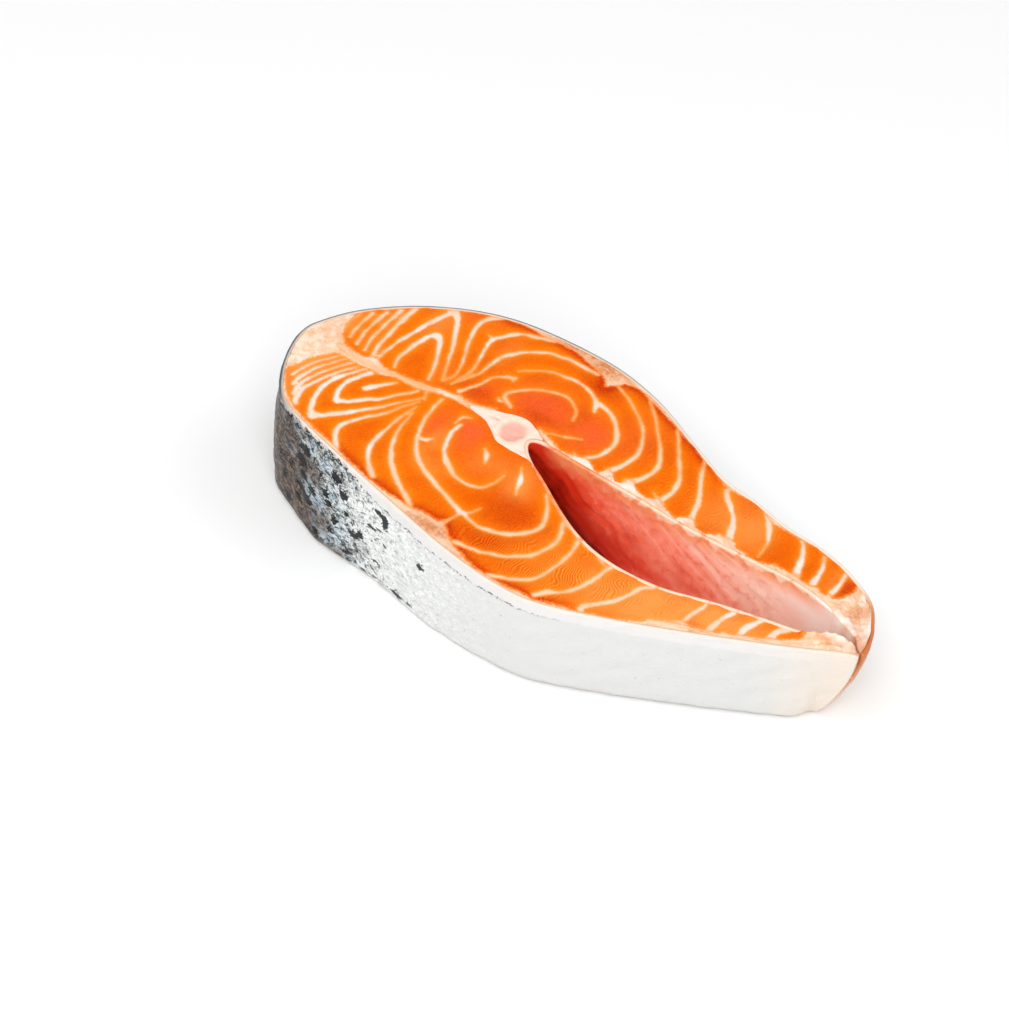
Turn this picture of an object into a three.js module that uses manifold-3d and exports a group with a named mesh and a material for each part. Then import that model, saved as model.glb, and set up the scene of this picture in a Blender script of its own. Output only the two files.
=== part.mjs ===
// A raw salmon steak: one slice cut straight across the fish, lying on its lower cut face.
// Millimetres, +Z up. +X runs from the fish's back to its belly, -Y is the near flank.
// The flesh is one C round the belly cavity, the backbone sits at the cavity's inner end,
// the skin wraps the flank from flap tip to flap tip, and a thin lining covers the cavity wall.

import * as THREE from 'three';
import { mergeVertices } from 'three/addons/utils/BufferGeometryUtils.js';
import Module from 'manifold-3d';

const wasm = await Module();
wasm.setup();

// Driving dimensions
const sliceLength = 158.6;        // back of the fish to the tips of the belly flaps
const backThickness = 29.5;       // the slice is a wedge, thicker at the back
const bellyThickness = 22.5;
const skinThickness = 1.0;
const liningThickness = 0.9;
const pieceGap = 0.3;             // clear space between neighbouring pieces
const skinLift = 0.4;             // the skin's lower edge stays off the board
const flankBulge = 0.7;           // roundness of the flank halfway up
const lowerEdgeTuck = 0.8;        // the lower rim is rounded in by this much
const rimLevel = 0.07;            // height of that rim, as a share of the thickness
const cornerSpread = 2.6;         // extra lean of the near flank beside the back
const nearSpread = 1.4;           // lean of the rest of the near flank
const farSpread = 0.9;            // lean of the far flank
const tipRecess = 6.5;            // how far the foot of the flap tips lies behind their top
const tipStart = 68;              // the tips are that rounded from here on
const tipEnd = 80;
const septumWidth = 1.0;          // scored line between two flakes
const septumDepth = 0.55;
const seamWidth = 2.2;            // fatty seam between the two sides of the back
const seamDepth = 0.7;
const flankStep = 3.6;            // spacing of the points along each kind of line
const cavityStep = 2.8;
const septumStep = 4.5;
const boneStep = 1.6;

const wallLevels = [0, rimLevel, 0.28, 0.6, 1];
const taper = (backThickness - bellyThickness) / sliceLength;
const middleThickness = (backThickness + bellyThickness) / 2;
const topHeight = (x) => middleThickness - taper * x;

// Edges of the upper cut face seen from above, each run so that its left side is open air.
// Outer edge: near flap tip, near flank, back of the fish, far flank, far flap tip.
const flankPoints = [
  [79.5, -12.4], [75.6, -13.8], [66, -18.8], [50, -26.3], [32, -34], [14, -40.2], [2, -40.5],
  [-12, -37.9], [-28, -33.2], [-44, -28.2], [-59, -23.1], [-68, -18.8], [-73.6, -11],
  [-76.9, -2.6], [-78, 5], [-76, 11.2], [-70.6, 19.8], [-61, 29], [-49, 36.3], [-37, 40.1],
  [-23, 40.9], [-8, 39.6], [6, 34.8], [20, 26.6], [31, 20.4], [40, 18.3], [49, 15.3],
  [59, 13.7], [68, 10.2], [75.5, 4.8], [79.2, -2.2], [80.4, -7.2], [80.4, -10.8],
];
// Cavity edge: far flap tip, far wall, the narrow end below the backbone, near wall.
const cavityPoints = [
  [78, -9.2], [76.4, -7.4], [73.2, -5.4], [67, -2.5], [58, -0.3], [44, 0], [30, 0.4], [16, 2],
  [4, 3.2], [-5, 4.2], [-10, 4.9], [-12.7, 3.9], [-11.8, 1.2], [-8.7, -1.9], [-3, -5.9],
  [4, -11.2], [11, -15.6], [18, -18.3], [26, -19.4], [35, -18.9], [46, -16], [57, -13.8],
  [66, -12.2], [71, -10.2], [74.4, -8.9], [77.4, -9.9],
];
const linedReach = 67;            // the lining stops here, short of the fatty flap tips
const linedFade = 5;              // the flesh comes out to the cavity edge within this length
const apexReach = -4;             // the cavity's narrow end is all that lies behind this

// Backbone: from the cavity along its near side to the tip of the upper arch, and back along
// the far side. What stands in the cavity is cut away behind the lining.
const bonePoints = [
  [-9, -2.2], [-15, -1.5], [-19.2, -0.9], [-22.2, 1.6], [-25.6, 4], [-29.6, 5.2],
  [-30.8, 5.9], [-29.8, 6.8], [-25.5, 8.1], [-21.6, 9.3], [-17.8, 10], [-14.4, 9],
  [-10.8, 6.6], [-9.5, 2],
];
const vertebraCentre = [-17.9, 4.6];
const vertebraRadius = 4;
const vertebraDish = 0.9;         // how far its face is hollowed
const canalCentre = [-23.6, 6];
const canalRadius = 1.3;
const canalDepth = 1;

// Septa, the white lines between flakes. Each family is a few key lines with their place
// in the row; the lines between two key lines are blended from them.
const septumFamilies = {
  nearBack: [
    [0, [[-67.5, 2.2], [-70.5, -2.5], [-72.6, -7.5]]],
    [4, [[-59.5, 2], [-62.5, -3], [-64.8, -9], [-65.8, -14], [-64.6, -18]]],
  ],
  nearChevron: [
    [0, [[-57.6, 2], [-61.4, -4.5], [-62.4, -11], [-59.2, -18.6], [-52.5, -13], [-41.5, 1]]],
    [1, [[-55.8, 1.6], [-58.8, -5], [-57, -11], [-50, -5.5], [-43.6, 3]]],
  ],
  nearHook: [
    [0, [[-41.2, 0], [-46, -9], [-50.4, -14.8], [-51.6, -19.5], [-48.4, -25]]],
    [2, [[-40.4, -4], [-40, -10], [-38.2, -16.5], [-33.5, -23.4], [-24.6, -30.2]]],
    [3, [[-37.2, 4], [-37, -4], [-33.8, -13], [-28, -18.8], [-13.6, -25.7]]],
  ],
  nearWhorl: [
    [0, [[-29, -1], [-29.4, -5], [-26.6, -12], [-20, -16.8], [-13.6, -15.4], [-12.1, -9.5]]],
  ],
  nearBelly: [
    [0, [[-13, -25.7], [-8, -27], [-1.5, -25], [3, -19.4], [1.8, -13.6], [-0.8, -9.4]]],
    [1, [[-10.4, -34.2], [-3, -33.2], [5, -28.6], [8.4, -21], [6.8, -14.8]]],
    [2, [[1, -38.6], [8.6, -34.8], [11.4, -30], [12.7, -21.5], [12.2, -18]]],
    [4, [[23.8, -36.4], [22.9, -34.2], [28, -28.4], [30.8, -22], [33, -20.2]]],
  ],
  nearFlap: [
    [0, [[42.4, -28.4], [43.2, -24], [44.8, -17.6]]],
    [3, [[61, -19], [61.4, -16], [63.4, -13]]],
  ],
  farBack: [
    [0, [[-70, 10.6], [-70.4, 14], [-70, 17.6]]],
    [4, [[-58.9, 6.6], [-60, 12], [-60.2, 20], [-60, 28]]],
  ],
  farChevron: [
    [0, [[-57.6, 7], [-56.2, 18], [-51.6, 32.4], [-46, 23.6], [-40.9, 10]]],
    [1, [[-52.5, 6.6], [-53.6, 12], [-50.5, 23.2], [-45.6, 14.4], [-43.7, 8]]],
  ],
  farHook: [
    [0, [[-40.5, 9.6], [-39.4, 15], [-43.4, 27], [-44.1, 34.4], [-41, 38.2]]],
    [1, [[-38, 11], [-36.9, 18], [-38.6, 29.6], [-33.4, 36], [-26, 38.6]]],
    [2, [[-38.4, 10], [-35, 17], [-32.6, 27.4], [-23.4, 34.4], [-11.4, 34.2]]],
  ],
  farWhorl: [
    [0, [[-35.4, 8.6], [-33.2, 13.2], [-30.8, 18.6], [-27, 20.8]]],
  ],
  farCentre: [
    [0, [[-22.8, 11.4], [-26, 15], [-21, 20.2], [-14.4, 22.8], [-9.6, 20], [-8.2, 16.4]]],
    [1, [[-27.3, 23.4], [-23, 27.4], [-14, 29], [-8, 26.6], [-5.6, 22.2]]],
  ],
  farBelly: [
    [0, [[-5.8, 25.2], [-0.6, 22.8], [3.4, 16.4], [3, 10.4], [0.4, 6.8]]],
    [1, [[-5.2, 33.6], [1.5, 29.2], [7.4, 22.6], [9.9, 14.4], [7.2, 6.6]]],
    [2, [[3.6, 33.6], [10, 25.4], [15.4, 16], [14.8, 9.4], [12, 5.8]]],
    [4, [[24, 22.8], [26, 16.6], [28.6, 10.4], [30.2, 3.4]]],
  ],
  farFlap: [
    [0, [[33.8, 18.4], [32.8, 16.6], [38, 9.8], [40.2, 2.6]]],
    [1, [[44.2, 15.8], [46.2, 11.6], [47.8, 7.4], [48, 2.4]]],
    [2, [[54.2, 13], [56.2, 8.6], [57.4, 2.4]]],
    [4, [[67, 9.8], [66.9, 6], [66.4, 1.8]]],
  ],
};
// Seams of fat: along the back between the two sides, and in from the skin on each flank.
const seams = [
  [[-70, 5.6], [-58, 5.2], [-46, 5.4], [-33, 5.9]],
  [[-7.8, 37.4], [-7.6, 34.6], [-7.4, 32]],
  [[-23, -31.6], [-15.4, -31], [-8, -36]],
];

// Points along a smooth line, each with the direction of its left side.
function sampleLine(points, step) {
  const line = new THREE.SplineCurve(points.map(([x, y]) => new THREE.Vector2(x, y)));
  const count = Math.max(2, Math.round(line.getLength() / step));
  return Array.from({ length: count + 1 }, (_, index) => {
    const place = line.getPointAt(index / count);
    const along = line.getTangentAt(index / count);
    return { x: place.x, y: place.y, leftX: -along.y, leftY: along.x };
  });
}

// How far the flank leans out at its foot: most beside the back, nothing at the belly.
function footSpread(point) {
  const toBelly = THREE.MathUtils.smoothstep(point.x, -18, 8);
  if (point.y > 0) return farSpread * (1 - toBelly);
  const corner = Math.exp(-(((point.x + 49) / 11) ** 2));
  return nearSpread * (1 - toBelly) + cornerSpread * corner;
}

const towardsTip = (x) => THREE.MathUtils.smoothstep(x, tipStart, tipEnd);

// How far the flank stands outside the upper edge at one level, 0 at the foot and 1 on top.
function flankShift(point, level) {
  const lean = footSpread(point) * (1 - level);
  const round = flankBulge * 4 * level * (1 - level);
  const tuck = level === 0 ? lowerEdgeTuck * (1 - towardsTip(point.x)) : 0;
  return lean + round - tuck;
}

// The flap tips recede below their upper edge, by the square of the depth. A sample there
// moves back, and its left side turns with the line.
function tipped(point, level) {
  const depth = tipRecess * (1 - level) ** 2;
  const share = THREE.MathUtils.clamp((point.x - tipStart) / (tipEnd - tipStart), 0, 1);
  const squeeze = 1 - (depth * 6 * share * (1 - share)) / (tipEnd - tipStart);
  const length = Math.hypot(point.leftX, point.leftY * squeeze);
  return {
    x: point.x - depth * towardsTip(point.x),
    y: point.y,
    leftX: point.leftX / length,
    leftY: (point.leftY * squeeze) / length,
  };
}

// One ring of a wall: the line moved in by an inset, at one level of the thickness.
function wallRing(samples, insetAt, level, shift, lift = 0) {
  return samples.map((point) => {
    const out = shift(point, level) - insetAt(point);
    const height = topHeight(point.x + point.leftX * out);
    const z = lift + (height - lift) * level;
    const start = tipped(point, z / height);
    return new THREE.Vector3(start.x + start.leftX * out, start.y + start.leftY * out, z);
  });
}

const upright = () => 0;
const steady = (inset) => () => inset;

// A closed body through rings of equal length, clockwise from above, lowest ring first.
function loftRings(rings) {
  const count = rings[0].length;
  const faces = [];
  for (let ring = 0; ring + 1 < rings.length; ring += 1) {
    for (let index = 0; index < count; index += 1) {
      const next = (index + 1) % count;
      const low = ring * count;
      const high = low + count;
      faces.push(low + index, high + next, low + next);
      faces.push(low + index, high + index, high + next);
    }
  }
  const capStart = (rings.length - 1) * count;
  addCap(faces, rings[0], 0, -1);
  addCap(faces, rings[rings.length - 1], capStart, 1);
  return closedGeometry(rings.flat(), faces);
}

// Fills a ring with triangles that face up (1) or down (-1).
function addCap(faces, ring, start, facing) {
  const contour = ring.map((point) => new THREE.Vector2(point.x, point.y));
  for (const [a, b, c] of THREE.ShapeUtils.triangulateShape(contour, [])) {
    const turn = THREE.ShapeUtils.area([contour[a], contour[b], contour[c]]);
    if (Math.sign(turn) === facing) faces.push(start + a, start + b, start + c);
    else faces.push(start + a, start + c, start + b);
  }
}

function closedGeometry(points, faces) {
  const geometry = new THREE.BufferGeometry();
  const places = points.flatMap((point) => [point.x, point.y, point.z]);
  geometry.setAttribute('position', new THREE.Float32BufferAttribute(places, 3));
  geometry.setIndex(faces);
  return geometry;
}

function toManifold(geometry) {
  const merged = mergeVertices(geometry, 1e-4);
  return new wasm.Manifold(new wasm.Mesh({
    numProp: 3,
    vertProperties: new Float32Array(merged.attributes.position.array),
    triVerts: new Uint32Array(merged.index.array),
  }));
}

function fromManifold(solid) {
  const mesh = solid.getMesh();
  const geometry = new THREE.BufferGeometry();
  const places = new THREE.BufferAttribute(new Float32Array(mesh.vertProperties), 3);
  geometry.setAttribute('position', places);
  geometry.setIndex(new THREE.BufferAttribute(new Uint32Array(mesh.triVerts), 1));
  return geometry;
}

// Blends two lines point by point.
function blendLines(first, second, share) {
  return first.map((point, index) => [
    THREE.MathUtils.lerp(point[0], second[index][0], share),
    THREE.MathUtils.lerp(point[1], second[index][1], share),
  ]);
}

// The same number of points along any line, so that two lines can be blended.
function evenPoints(points) {
  const line = new THREE.SplineCurve(points.map(([x, y]) => new THREE.Vector2(x, y)));
  return line.getSpacedPoints(6).map((point) => [point.x, point.y]);
}

// All the lines of one family: its key lines and what lies between them.
function familyLines(keyLines) {
  const lines = [];
  for (let key = 0; key < keyLines.length; key += 1) {
    const [place, points] = keyLines[key];
    lines.push(points);
    if (key + 1 === keyLines.length) break;
    const [nextPlace, nextPoints] = keyLines[key + 1];
    for (let between = place + 1; between < nextPlace; between += 1) {
      const share = (between - place) / (nextPlace - place);
      lines.push(blendLines(evenPoints(points), evenPoints(nextPoints), share));
    }
  }
  return lines;
}

// A long V-shaped wedge that scores a line into the upper (1) or the lower (-1) cut face.
function scoreWedge(points, width, depth, facing) {
  const clear = 0.25;                              // how far the wedge stands out of the face
  const half = (width / 2) * ((depth + clear) / depth);
  const samples = sampleLine(points, septumStep);
  const corners = samples.flatMap((point) => {
    const surface = facing > 0 ? topHeight(point.x) : 0;
    const open = surface + facing * clear;
    const sideX = point.leftX * half;
    const sideY = point.leftY * half;
    return [
      new THREE.Vector3(point.x + sideX, point.y + sideY, open),
      new THREE.Vector3(point.x - sideX, point.y - sideY, open),
      new THREE.Vector3(point.x, point.y, surface - facing * depth),
    ];
  });
  const faces = [];
  const addFace = (a, b, c) => (facing > 0 ? faces.push(a, b, c) : faces.push(a, c, b));
  for (let section = 0; section + 1 < samples.length; section += 1) {
    for (let corner = 0; corner < 3; corner += 1) {
      const here = section * 3 + corner;
      const beside = section * 3 + ((corner + 1) % 3);
      addFace(here, beside, beside + 3);
      addFace(here, beside + 3, here + 3);
    }
  }
  const last = (samples.length - 1) * 3;
  addFace(0, 2, 1);
  addFace(last, last + 1, last + 2);
  return toManifold(closedGeometry(corners, faces));
}

// Every line that is scored into one cut face, as one cutting solid.
function scoringSolid(facing) {
  const septa = Object.values(septumFamilies).flatMap(familyLines);
  const wedges = [
    ...septa.map((points) => scoreWedge(points, septumWidth, septumDepth, facing)),
    ...seams.map((points) => scoreWedge(points, seamWidth, seamDepth, facing)),
  ];
  return wedges.reduce((joined, wedge) => joined.add(wedge));
}

const flankSamples = sampleLine(flankPoints, flankStep);
const cavitySamples = sampleLine(cavityPoints, cavityStep);

const throughLevels = [-0.03, 1.03];   // from just below the slice to just above it

// Room behind the lining, which ends before the flap tips.
function liningRoom(point) {
  const toTip = THREE.MathUtils.smoothstep(point.x, linedReach + 1, linedReach + 1 + linedFade);
  return (liningThickness + pieceGap) * (1 - toTip);
}

// The backbone's outline grown by a margin, as one upright body.
function boneBody(margin, levels) {
  const samples = sampleLine(bonePoints, boneStep);
  const rings = levels.map((level) => wallRing(samples, steady(-margin), level, upright));
  return toManifold(loftRings(rings));
}

// The narrow end of the cavity with the room for its lining.
function cavityEnd() {
  const passing = cavitySamples.filter((point) => point.x < apexReach);
  const rings = throughLevels.map((level) => (
    wallRing(passing, liningRoom, level, upright).reverse()
  ));
  return toManifold(loftRings(rings));
}

// The C of muscle inside the skin, with the bed of the backbone opened to the cavity.
function makeFlesh() {
  const rings = wallLevels.map((level) => [
    ...wallRing(flankSamples, steady(skinThickness + pieceGap), level, flankShift),
    ...wallRing(cavitySamples, liningRoom, level, upright),
  ]);
  const muscle = toManifold(loftRings(rings));
  const scored = muscle.subtract(scoringSolid(1)).subtract(scoringSolid(-1));
  return fromManifold(scored.subtract(boneBody(pieceGap, throughLevels)));
}

// A strip that follows an edge: its open side, then back along its inner side.
function makeStrip(samples, thickness, shift, lift) {
  return loftRings(wallLevels.map((level) => [
    ...wallRing(samples, steady(0), level, shift, lift),
    ...wallRing(samples, steady(thickness), level, shift, lift).reverse(),
  ]));
}

const makeSkin = () => makeStrip(flankSamples, skinThickness, flankShift, skinLift);

function makeLining() {
  const covered = cavitySamples.filter((point) => point.x < linedReach);
  return makeStrip(covered, liningThickness, upright, skinLift);
}

// The vertebra with its upper arch: its cut face is dished, with the small nerve canal.
function makeBackbone() {
  const dish = new THREE.SphereGeometry(1, 20, 10);
  dish.scale(vertebraRadius, vertebraRadius, vertebraDish);
  dish.translate(...vertebraCentre, topHeight(vertebraCentre[0]));
  const canal = new THREE.SphereGeometry(1, 12, 8);
  canal.scale(canalRadius, canalRadius / 2, canalDepth);
  canal.translate(...canalCentre, topHeight(canalCentre[0]));
  const cuts = [dish, canal].map((geometry) => {
    geometry.deleteAttribute('normal');
    geometry.deleteAttribute('uv');
    return toManifold(geometry);
  });
  const body = boneBody(0, [0, 1]).subtract(cavityEnd());
  return fromManifold(body.subtract(cuts[0]).subtract(cuts[1]));
}

function makePiece(name, geometry, color, roughness) {
  const material = new THREE.MeshStandardMaterial({ color, roughness, metalness: 0 });
  const piece = new THREE.Mesh(geometry, material);
  piece.name = name;
  return piece;
}

const steak = new THREE.Group();
steak.add(
  makePiece('flesh', makeFlesh(), 0xf07018, 0.35),
  makePiece('skin', makeSkin(), 0xb9c2c8, 0.3),
  makePiece('backbone', makeBackbone(), 0xf3d9d0, 0.4),
  makePiece('belly_lining', makeLining(), 0xd8584a, 0.3),
);

// The frame's origin is the middle of the footprint, on the board.
const bounds = new THREE.Box3().setFromObject(steak);
const middle = bounds.getCenter(new THREE.Vector3());
steak.position.set(-middle.x, -middle.y, -bounds.min.z);

export default steak;
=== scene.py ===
import math

import bpy
import numpy as np
from mathutils import Matrix, Vector


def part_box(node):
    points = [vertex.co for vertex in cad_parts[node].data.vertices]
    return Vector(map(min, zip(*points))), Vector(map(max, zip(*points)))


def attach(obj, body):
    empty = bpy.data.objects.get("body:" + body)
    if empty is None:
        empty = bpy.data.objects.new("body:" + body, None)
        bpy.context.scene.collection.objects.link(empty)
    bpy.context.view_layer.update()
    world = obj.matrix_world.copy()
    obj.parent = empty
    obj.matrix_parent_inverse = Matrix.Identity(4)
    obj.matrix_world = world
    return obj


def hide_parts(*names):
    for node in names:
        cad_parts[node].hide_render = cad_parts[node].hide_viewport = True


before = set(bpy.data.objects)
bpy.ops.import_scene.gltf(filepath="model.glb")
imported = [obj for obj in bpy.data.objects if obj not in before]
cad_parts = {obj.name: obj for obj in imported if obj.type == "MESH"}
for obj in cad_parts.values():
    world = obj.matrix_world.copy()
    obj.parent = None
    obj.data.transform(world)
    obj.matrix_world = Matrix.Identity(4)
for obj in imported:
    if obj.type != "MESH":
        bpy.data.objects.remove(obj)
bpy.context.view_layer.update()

# Everything is drawn in millimetres on the upper cut face: +X runs from the fish's back to its
# belly, -Y is the near flank, +Z is up. One shift moves each finished mesh onto the CAD frame.
steak = {
    "length": 158.6,            # back of the fish to the flap tips
    "backThickness": 29.5,
    "bellyThickness": 22.5,
    "skinThickness": 1.0,
    "liningThickness": 0.9,
    "joint": 0.04,              # clear space between neighbouring pieces
    "surfaceInset": 0.08,       # keeps the finished skin inside the solid's outline
    "flankBulge": 0.7,
    "lowerEdgeTuck": 0.8,
    "nearSpread": 1.4,          # lean of the near flank, and of the corner beside the back
    "cornerSpread": 2.6,
    "farSpread": 0.9,
    "cornerAt": -49,            # middle and reach of that corner along the fish
    "cornerReach": 11,
    "leanFade": (-18, 8),       # where the lean fades out along the fish
    "footRounding": 0.07,       # height of the rounded foot, as a share of the whole
    "tipRecess": 6.5,           # how far the foot of the flap tips lies behind their top
    "tipStart": 68,
    "tipEnd": 80,
    "linedReach": 67,
    "lineBend": 0.08,           # how far a drawn line strays, and how much it thins and swells
    "lineThinning": 0.15,
    # flank: near flap tip, near side, back, far side, far flap tip
    "flank": [
        (79.5, -12.4), (75.6, -13.8), (66, -18.8), (50, -26.3), (32, -34), (14, -40.2), (2, -40.5),
        (-12, -37.9), (-28, -33.2), (-44, -28.2), (-59, -23.1), (-68, -18.8), (-73.6, -11),
        (-76.9, -2.6), (-78, 5), (-76, 11.2), (-70.6, 19.8), (-61, 29), (-49, 36.3), (-37, 40.1),
        (-23, 40.9), (-8, 39.6), (6, 34.8), (20, 26.6), (31, 20.4), (40, 18.3), (49, 15.3),
        (59, 13.7), (68, 10.2), (75.5, 4.8), (79.2, -2.2), (80.4, -7.2), (80.4, -10.8),
    ],
    # cavity: far flap tip, far wall, narrow end below the backbone, near wall, near flap tip
    "cavity": [
        (78, -9.2), (76.4, -7.4), (73.2, -5.4), (67, -2.5), (58, -0.3), (44, 0), (30, 0.4),
        (16, 2), (4, 3.2), (-5, 4.2), (-10, 4.9), (-12.7, 3.9), (-11.8, 1.2), (-8.7, -1.9),
        (-3, -5.9), (4, -11.2), (11, -15.6), (18, -18.3), (26, -19.4), (35, -18.9), (46, -16),
        (57, -13.8), (66, -12.2), (71, -10.2), (74.4, -8.9), (77.4, -9.9),
    ],
    # backbone: from the cavity along its near side to the tip of its arch, then the far side
    "boneNear": [
        (-9, -2.2), (-15, -1.5), (-19.2, -0.9), (-22.2, 1.6), (-25.6, 4), (-29.6, 5.2),
        (-30.8, 5.9),
    ],
    "boneFar": [
        (-30.8, 5.9), (-29.8, 6.8), (-25.5, 8.1), (-21.6, 9.3), (-17.8, 10), (-14.4, 9),
        (-10.8, 6.6),
    ],
}


# Smooth line through points: each span is the Catmull-Rom cubic of its two ends and their
# neighbours, with the end points repeated, then the line is spaced evenly by its length.
def smoothLine(points, count=None, step=None):
    p = np.array(points, float)
    p = np.vstack([p[:1], p, p[-1:]])
    w = np.linspace(0, 1, 24, endpoint=False)[:, None, None]
    before, start, end, after = p[:-3], p[1:-2], p[2:-1], p[3:]
    slopeA, slopeB = (end - before) / 2, (after - start) / 2
    cubic = 2 * start - 2 * end + slopeA + slopeB
    square = -3 * start + 3 * end - 2 * slopeA - slopeB
    line = cubic * w**3 + square * w**2 + slopeA * w + start
    line = np.vstack([line.transpose(1, 0, 2).reshape(-1, 2), p[-1:]])
    total = lengths(line)[-1]
    return placesOn(line, np.linspace(0, total, count or max(2, round(total / step)) + 1))


# Running length along a line of points.
def lengths(line):
    return np.concatenate([[0], np.cumsum(np.hypot(*np.diff(line, axis=0).T))])


# Points of a line at given lengths along it.
def placesOn(line, at):
    run = lengths(line)
    return np.stack([np.interp(at, run, line[:, axis]) for axis in range(line.shape[1])], 1)


# Unit direction of each point's left side: the line's direction turned by a quarter.
def leftOf(line):
    along = np.gradient(line, axis=0)
    along /= np.maximum(np.hypot(*along.T), 1e-9)[:, None]
    return np.stack([-along[:, 1], along[:, 0]], 1)


def smoothStep(value, low, high):
    share = np.clip((np.asarray(value, float) - low) / (high - low), 0, 1)
    return share * share * (3 - 2 * share)


# Drop of a quarter-round edge, as a share of its radius, at a distance that is given as a
# share too: one minus the height of a quarter circle.
def quarterRound(share):
    return 1 - np.sqrt(1 - np.clip(1 - share, 0, 1) ** 2)


# Height of the upper cut face, a plane that falls from the back to the belly.
def topHeight(x):
    taper = (steak["backThickness"] - steak["bellyThickness"]) / steak["length"]
    return (steak["backThickness"] + steak["bellyThickness"]) / 2 - taper * x


# How far the flank stands outside its upper edge: a lean that grows towards the foot, a
# parabola for the bulge, and a rounded foot that turns in by the tuck.
def flankShift(x, y, level):
    toBelly = smoothStep(x, *steak["leanFade"])
    corner = np.exp(-(((x - steak["cornerAt"]) / steak["cornerReach"]) ** 2))
    near = steak["nearSpread"] * (1 - toBelly) + steak["cornerSpread"] * corner
    lean = np.where(y > 0, steak["farSpread"] * (1 - toBelly), near)
    tuck = steak["lowerEdgeTuck"] * quarterRound(level / steak["footRounding"])
    body = 1 - smoothStep(x, steak["tipStart"], steak["tipEnd"])
    bulge = steak["flankBulge"] * 4 * level * (1 - level)
    return lean * (1 - level) + (bulge - tuck) * body


# The flap tips recede towards their foot, by the square of the depth below the upper face.
def recede(x, level):
    reach = smoothStep(x, steak["tipStart"], steak["tipEnd"])
    return x - steak["tipRecess"] * np.clip(1 - level, 0, 1) ** 2 * reach


# Soft irregular waves between about -1 and 1: sines in seeded random directions, with wave
# lengths round the given size, added up.
def waves(x, y, size, seed, count=9):
    random = np.random.default_rng(seed)
    total = np.zeros(np.broadcast(x, y).shape)
    circle = 2 * math.pi
    for turn, pitch, phase in random.random((count, 3)):
        turn, pitch = turn * circle, circle / (size * (0.6 + 0.9 * pitch))
        total += np.sin((x * math.cos(turn) + y * math.sin(turn)) * pitch + phase * circle)
    return total / math.sqrt(count)


# Sum of soft round spots, each a bell curve with its own place, two radii and amount.
def spots(x, y, listed):
    total = np.zeros(np.broadcast(x, y).shape)
    for placeX, placeY, radiusX, radiusY, amount in listed:
        total += amount * np.exp(-(((x - placeX) / radiusX) ** 2) - (((y - placeY) / radiusY) ** 2))
    return total


# Distance from places to the nearest of many short segments with a half width each: signed
# by the segment's side, plain, and the half width there. Blocks of places save memory.
def nearestSegment(places, starts, ends, halfStarts, halfEnds):
    along = ends - starts
    square = np.maximum((along**2).sum(1), 1e-9)
    side, gap, half = (np.empty(len(places), np.float32) for _ in range(3))
    block = 4000
    for first in range(0, len(places), block):
        rows = slice(first, first + block)
        away = places[rows, None, :] - starts[None]
        share = np.clip((away * along).sum(2) / square, 0, 1)
        off = away - share[..., None] * along
        distance = np.hypot(off[..., 0], off[..., 1])
        width = halfStarts + (halfEnds - halfStarts) * share
        pick = (distance - width).argmin(1)[:, None]
        turn = along[:, 0] * off[..., 1] - along[:, 1] * off[..., 0]
        chosen = np.take_along_axis(distance, pick, 1)[:, 0]
        gap[rows] = chosen
        side[rows] = chosen * np.sign(np.take_along_axis(turn, pick, 1)[:, 0])
        half[rows] = np.take_along_axis(width, pick, 1)[:, 0]
    return side, gap, half


# The same for drawn lines, each with its width at the start, the middle and the end. Soft
# waves bend each line a little and make it thinner and thicker.
def nearestLine(places, drawn):
    parts = []
    for points, width in drawn:
        line = smoothLine(points, step=0.9)
        half = np.interp(np.linspace(0, 1, len(line)), [0, 0.5, 1], width) / 2
        half *= 1 + steak["lineThinning"] * waves(*line.T, 5, 71)
        bend = np.stack([waves(*line.T, 6, 72), waves(*line.T, 6, 73)], 1)
        line = line + steak["lineBend"] * bend
        parts.append((line[:-1], line[1:], half[:-1], half[1:]))
    return nearestSegment(places, *(np.concatenate(part) for part in zip(*parts)))


# Depth inside a closed outline, negative outside: distance to its edge, with the sign from
# how often a level ray crosses the edge.
def depthInside(places, outline):
    ring = np.array(outline, float)
    after = np.roll(ring, -1, 0)
    zero = np.zeros(len(ring))
    _, gap, _ = nearestSegment(places, ring, after, zero, zero)
    x, y = places[:, :1], places[:, 1:]
    spans = (ring[:, 1] > y) != (after[:, 1] > y)
    rise = np.where(after[:, 1] == ring[:, 1], 1e-9, after[:, 1] - ring[:, 1])
    crossing = ring[:, 0] + (y - ring[:, 1]) / rise * (after[:, 0] - ring[:, 0])
    inside = (spans & (x < crossing)).sum(1) % 2 == 1
    return np.where(inside, gap, -gap)


flankLine = smoothLine(steak["flank"], step=0.25)
cavityLine = smoothLine(steak["cavity"], step=0.25)


# The drawing's middle, found from the skin's outer wall, goes to the middle of the CAD skin.
def drawingShift():
    levels = np.linspace(0, 1, 41)[:, None]
    out = flankShift(flankLine[:, 0], flankLine[:, 1], levels)
    wall = flankLine + leftOf(flankLine) * out[..., None]
    wall[..., 0] = recede(wall[..., 0], levels)
    low, high = wall.reshape(-1, 2).min(0), wall.reshape(-1, 2).max(0)
    cadLow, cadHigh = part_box("skin")
    return [
        (cadLow[axis] + cadHigh[axis]) / 2 * 1000 - (low[axis] + high[axis]) / 2
        for axis in (0, 1)
    ]


shift = drawingShift() + [0]


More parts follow.
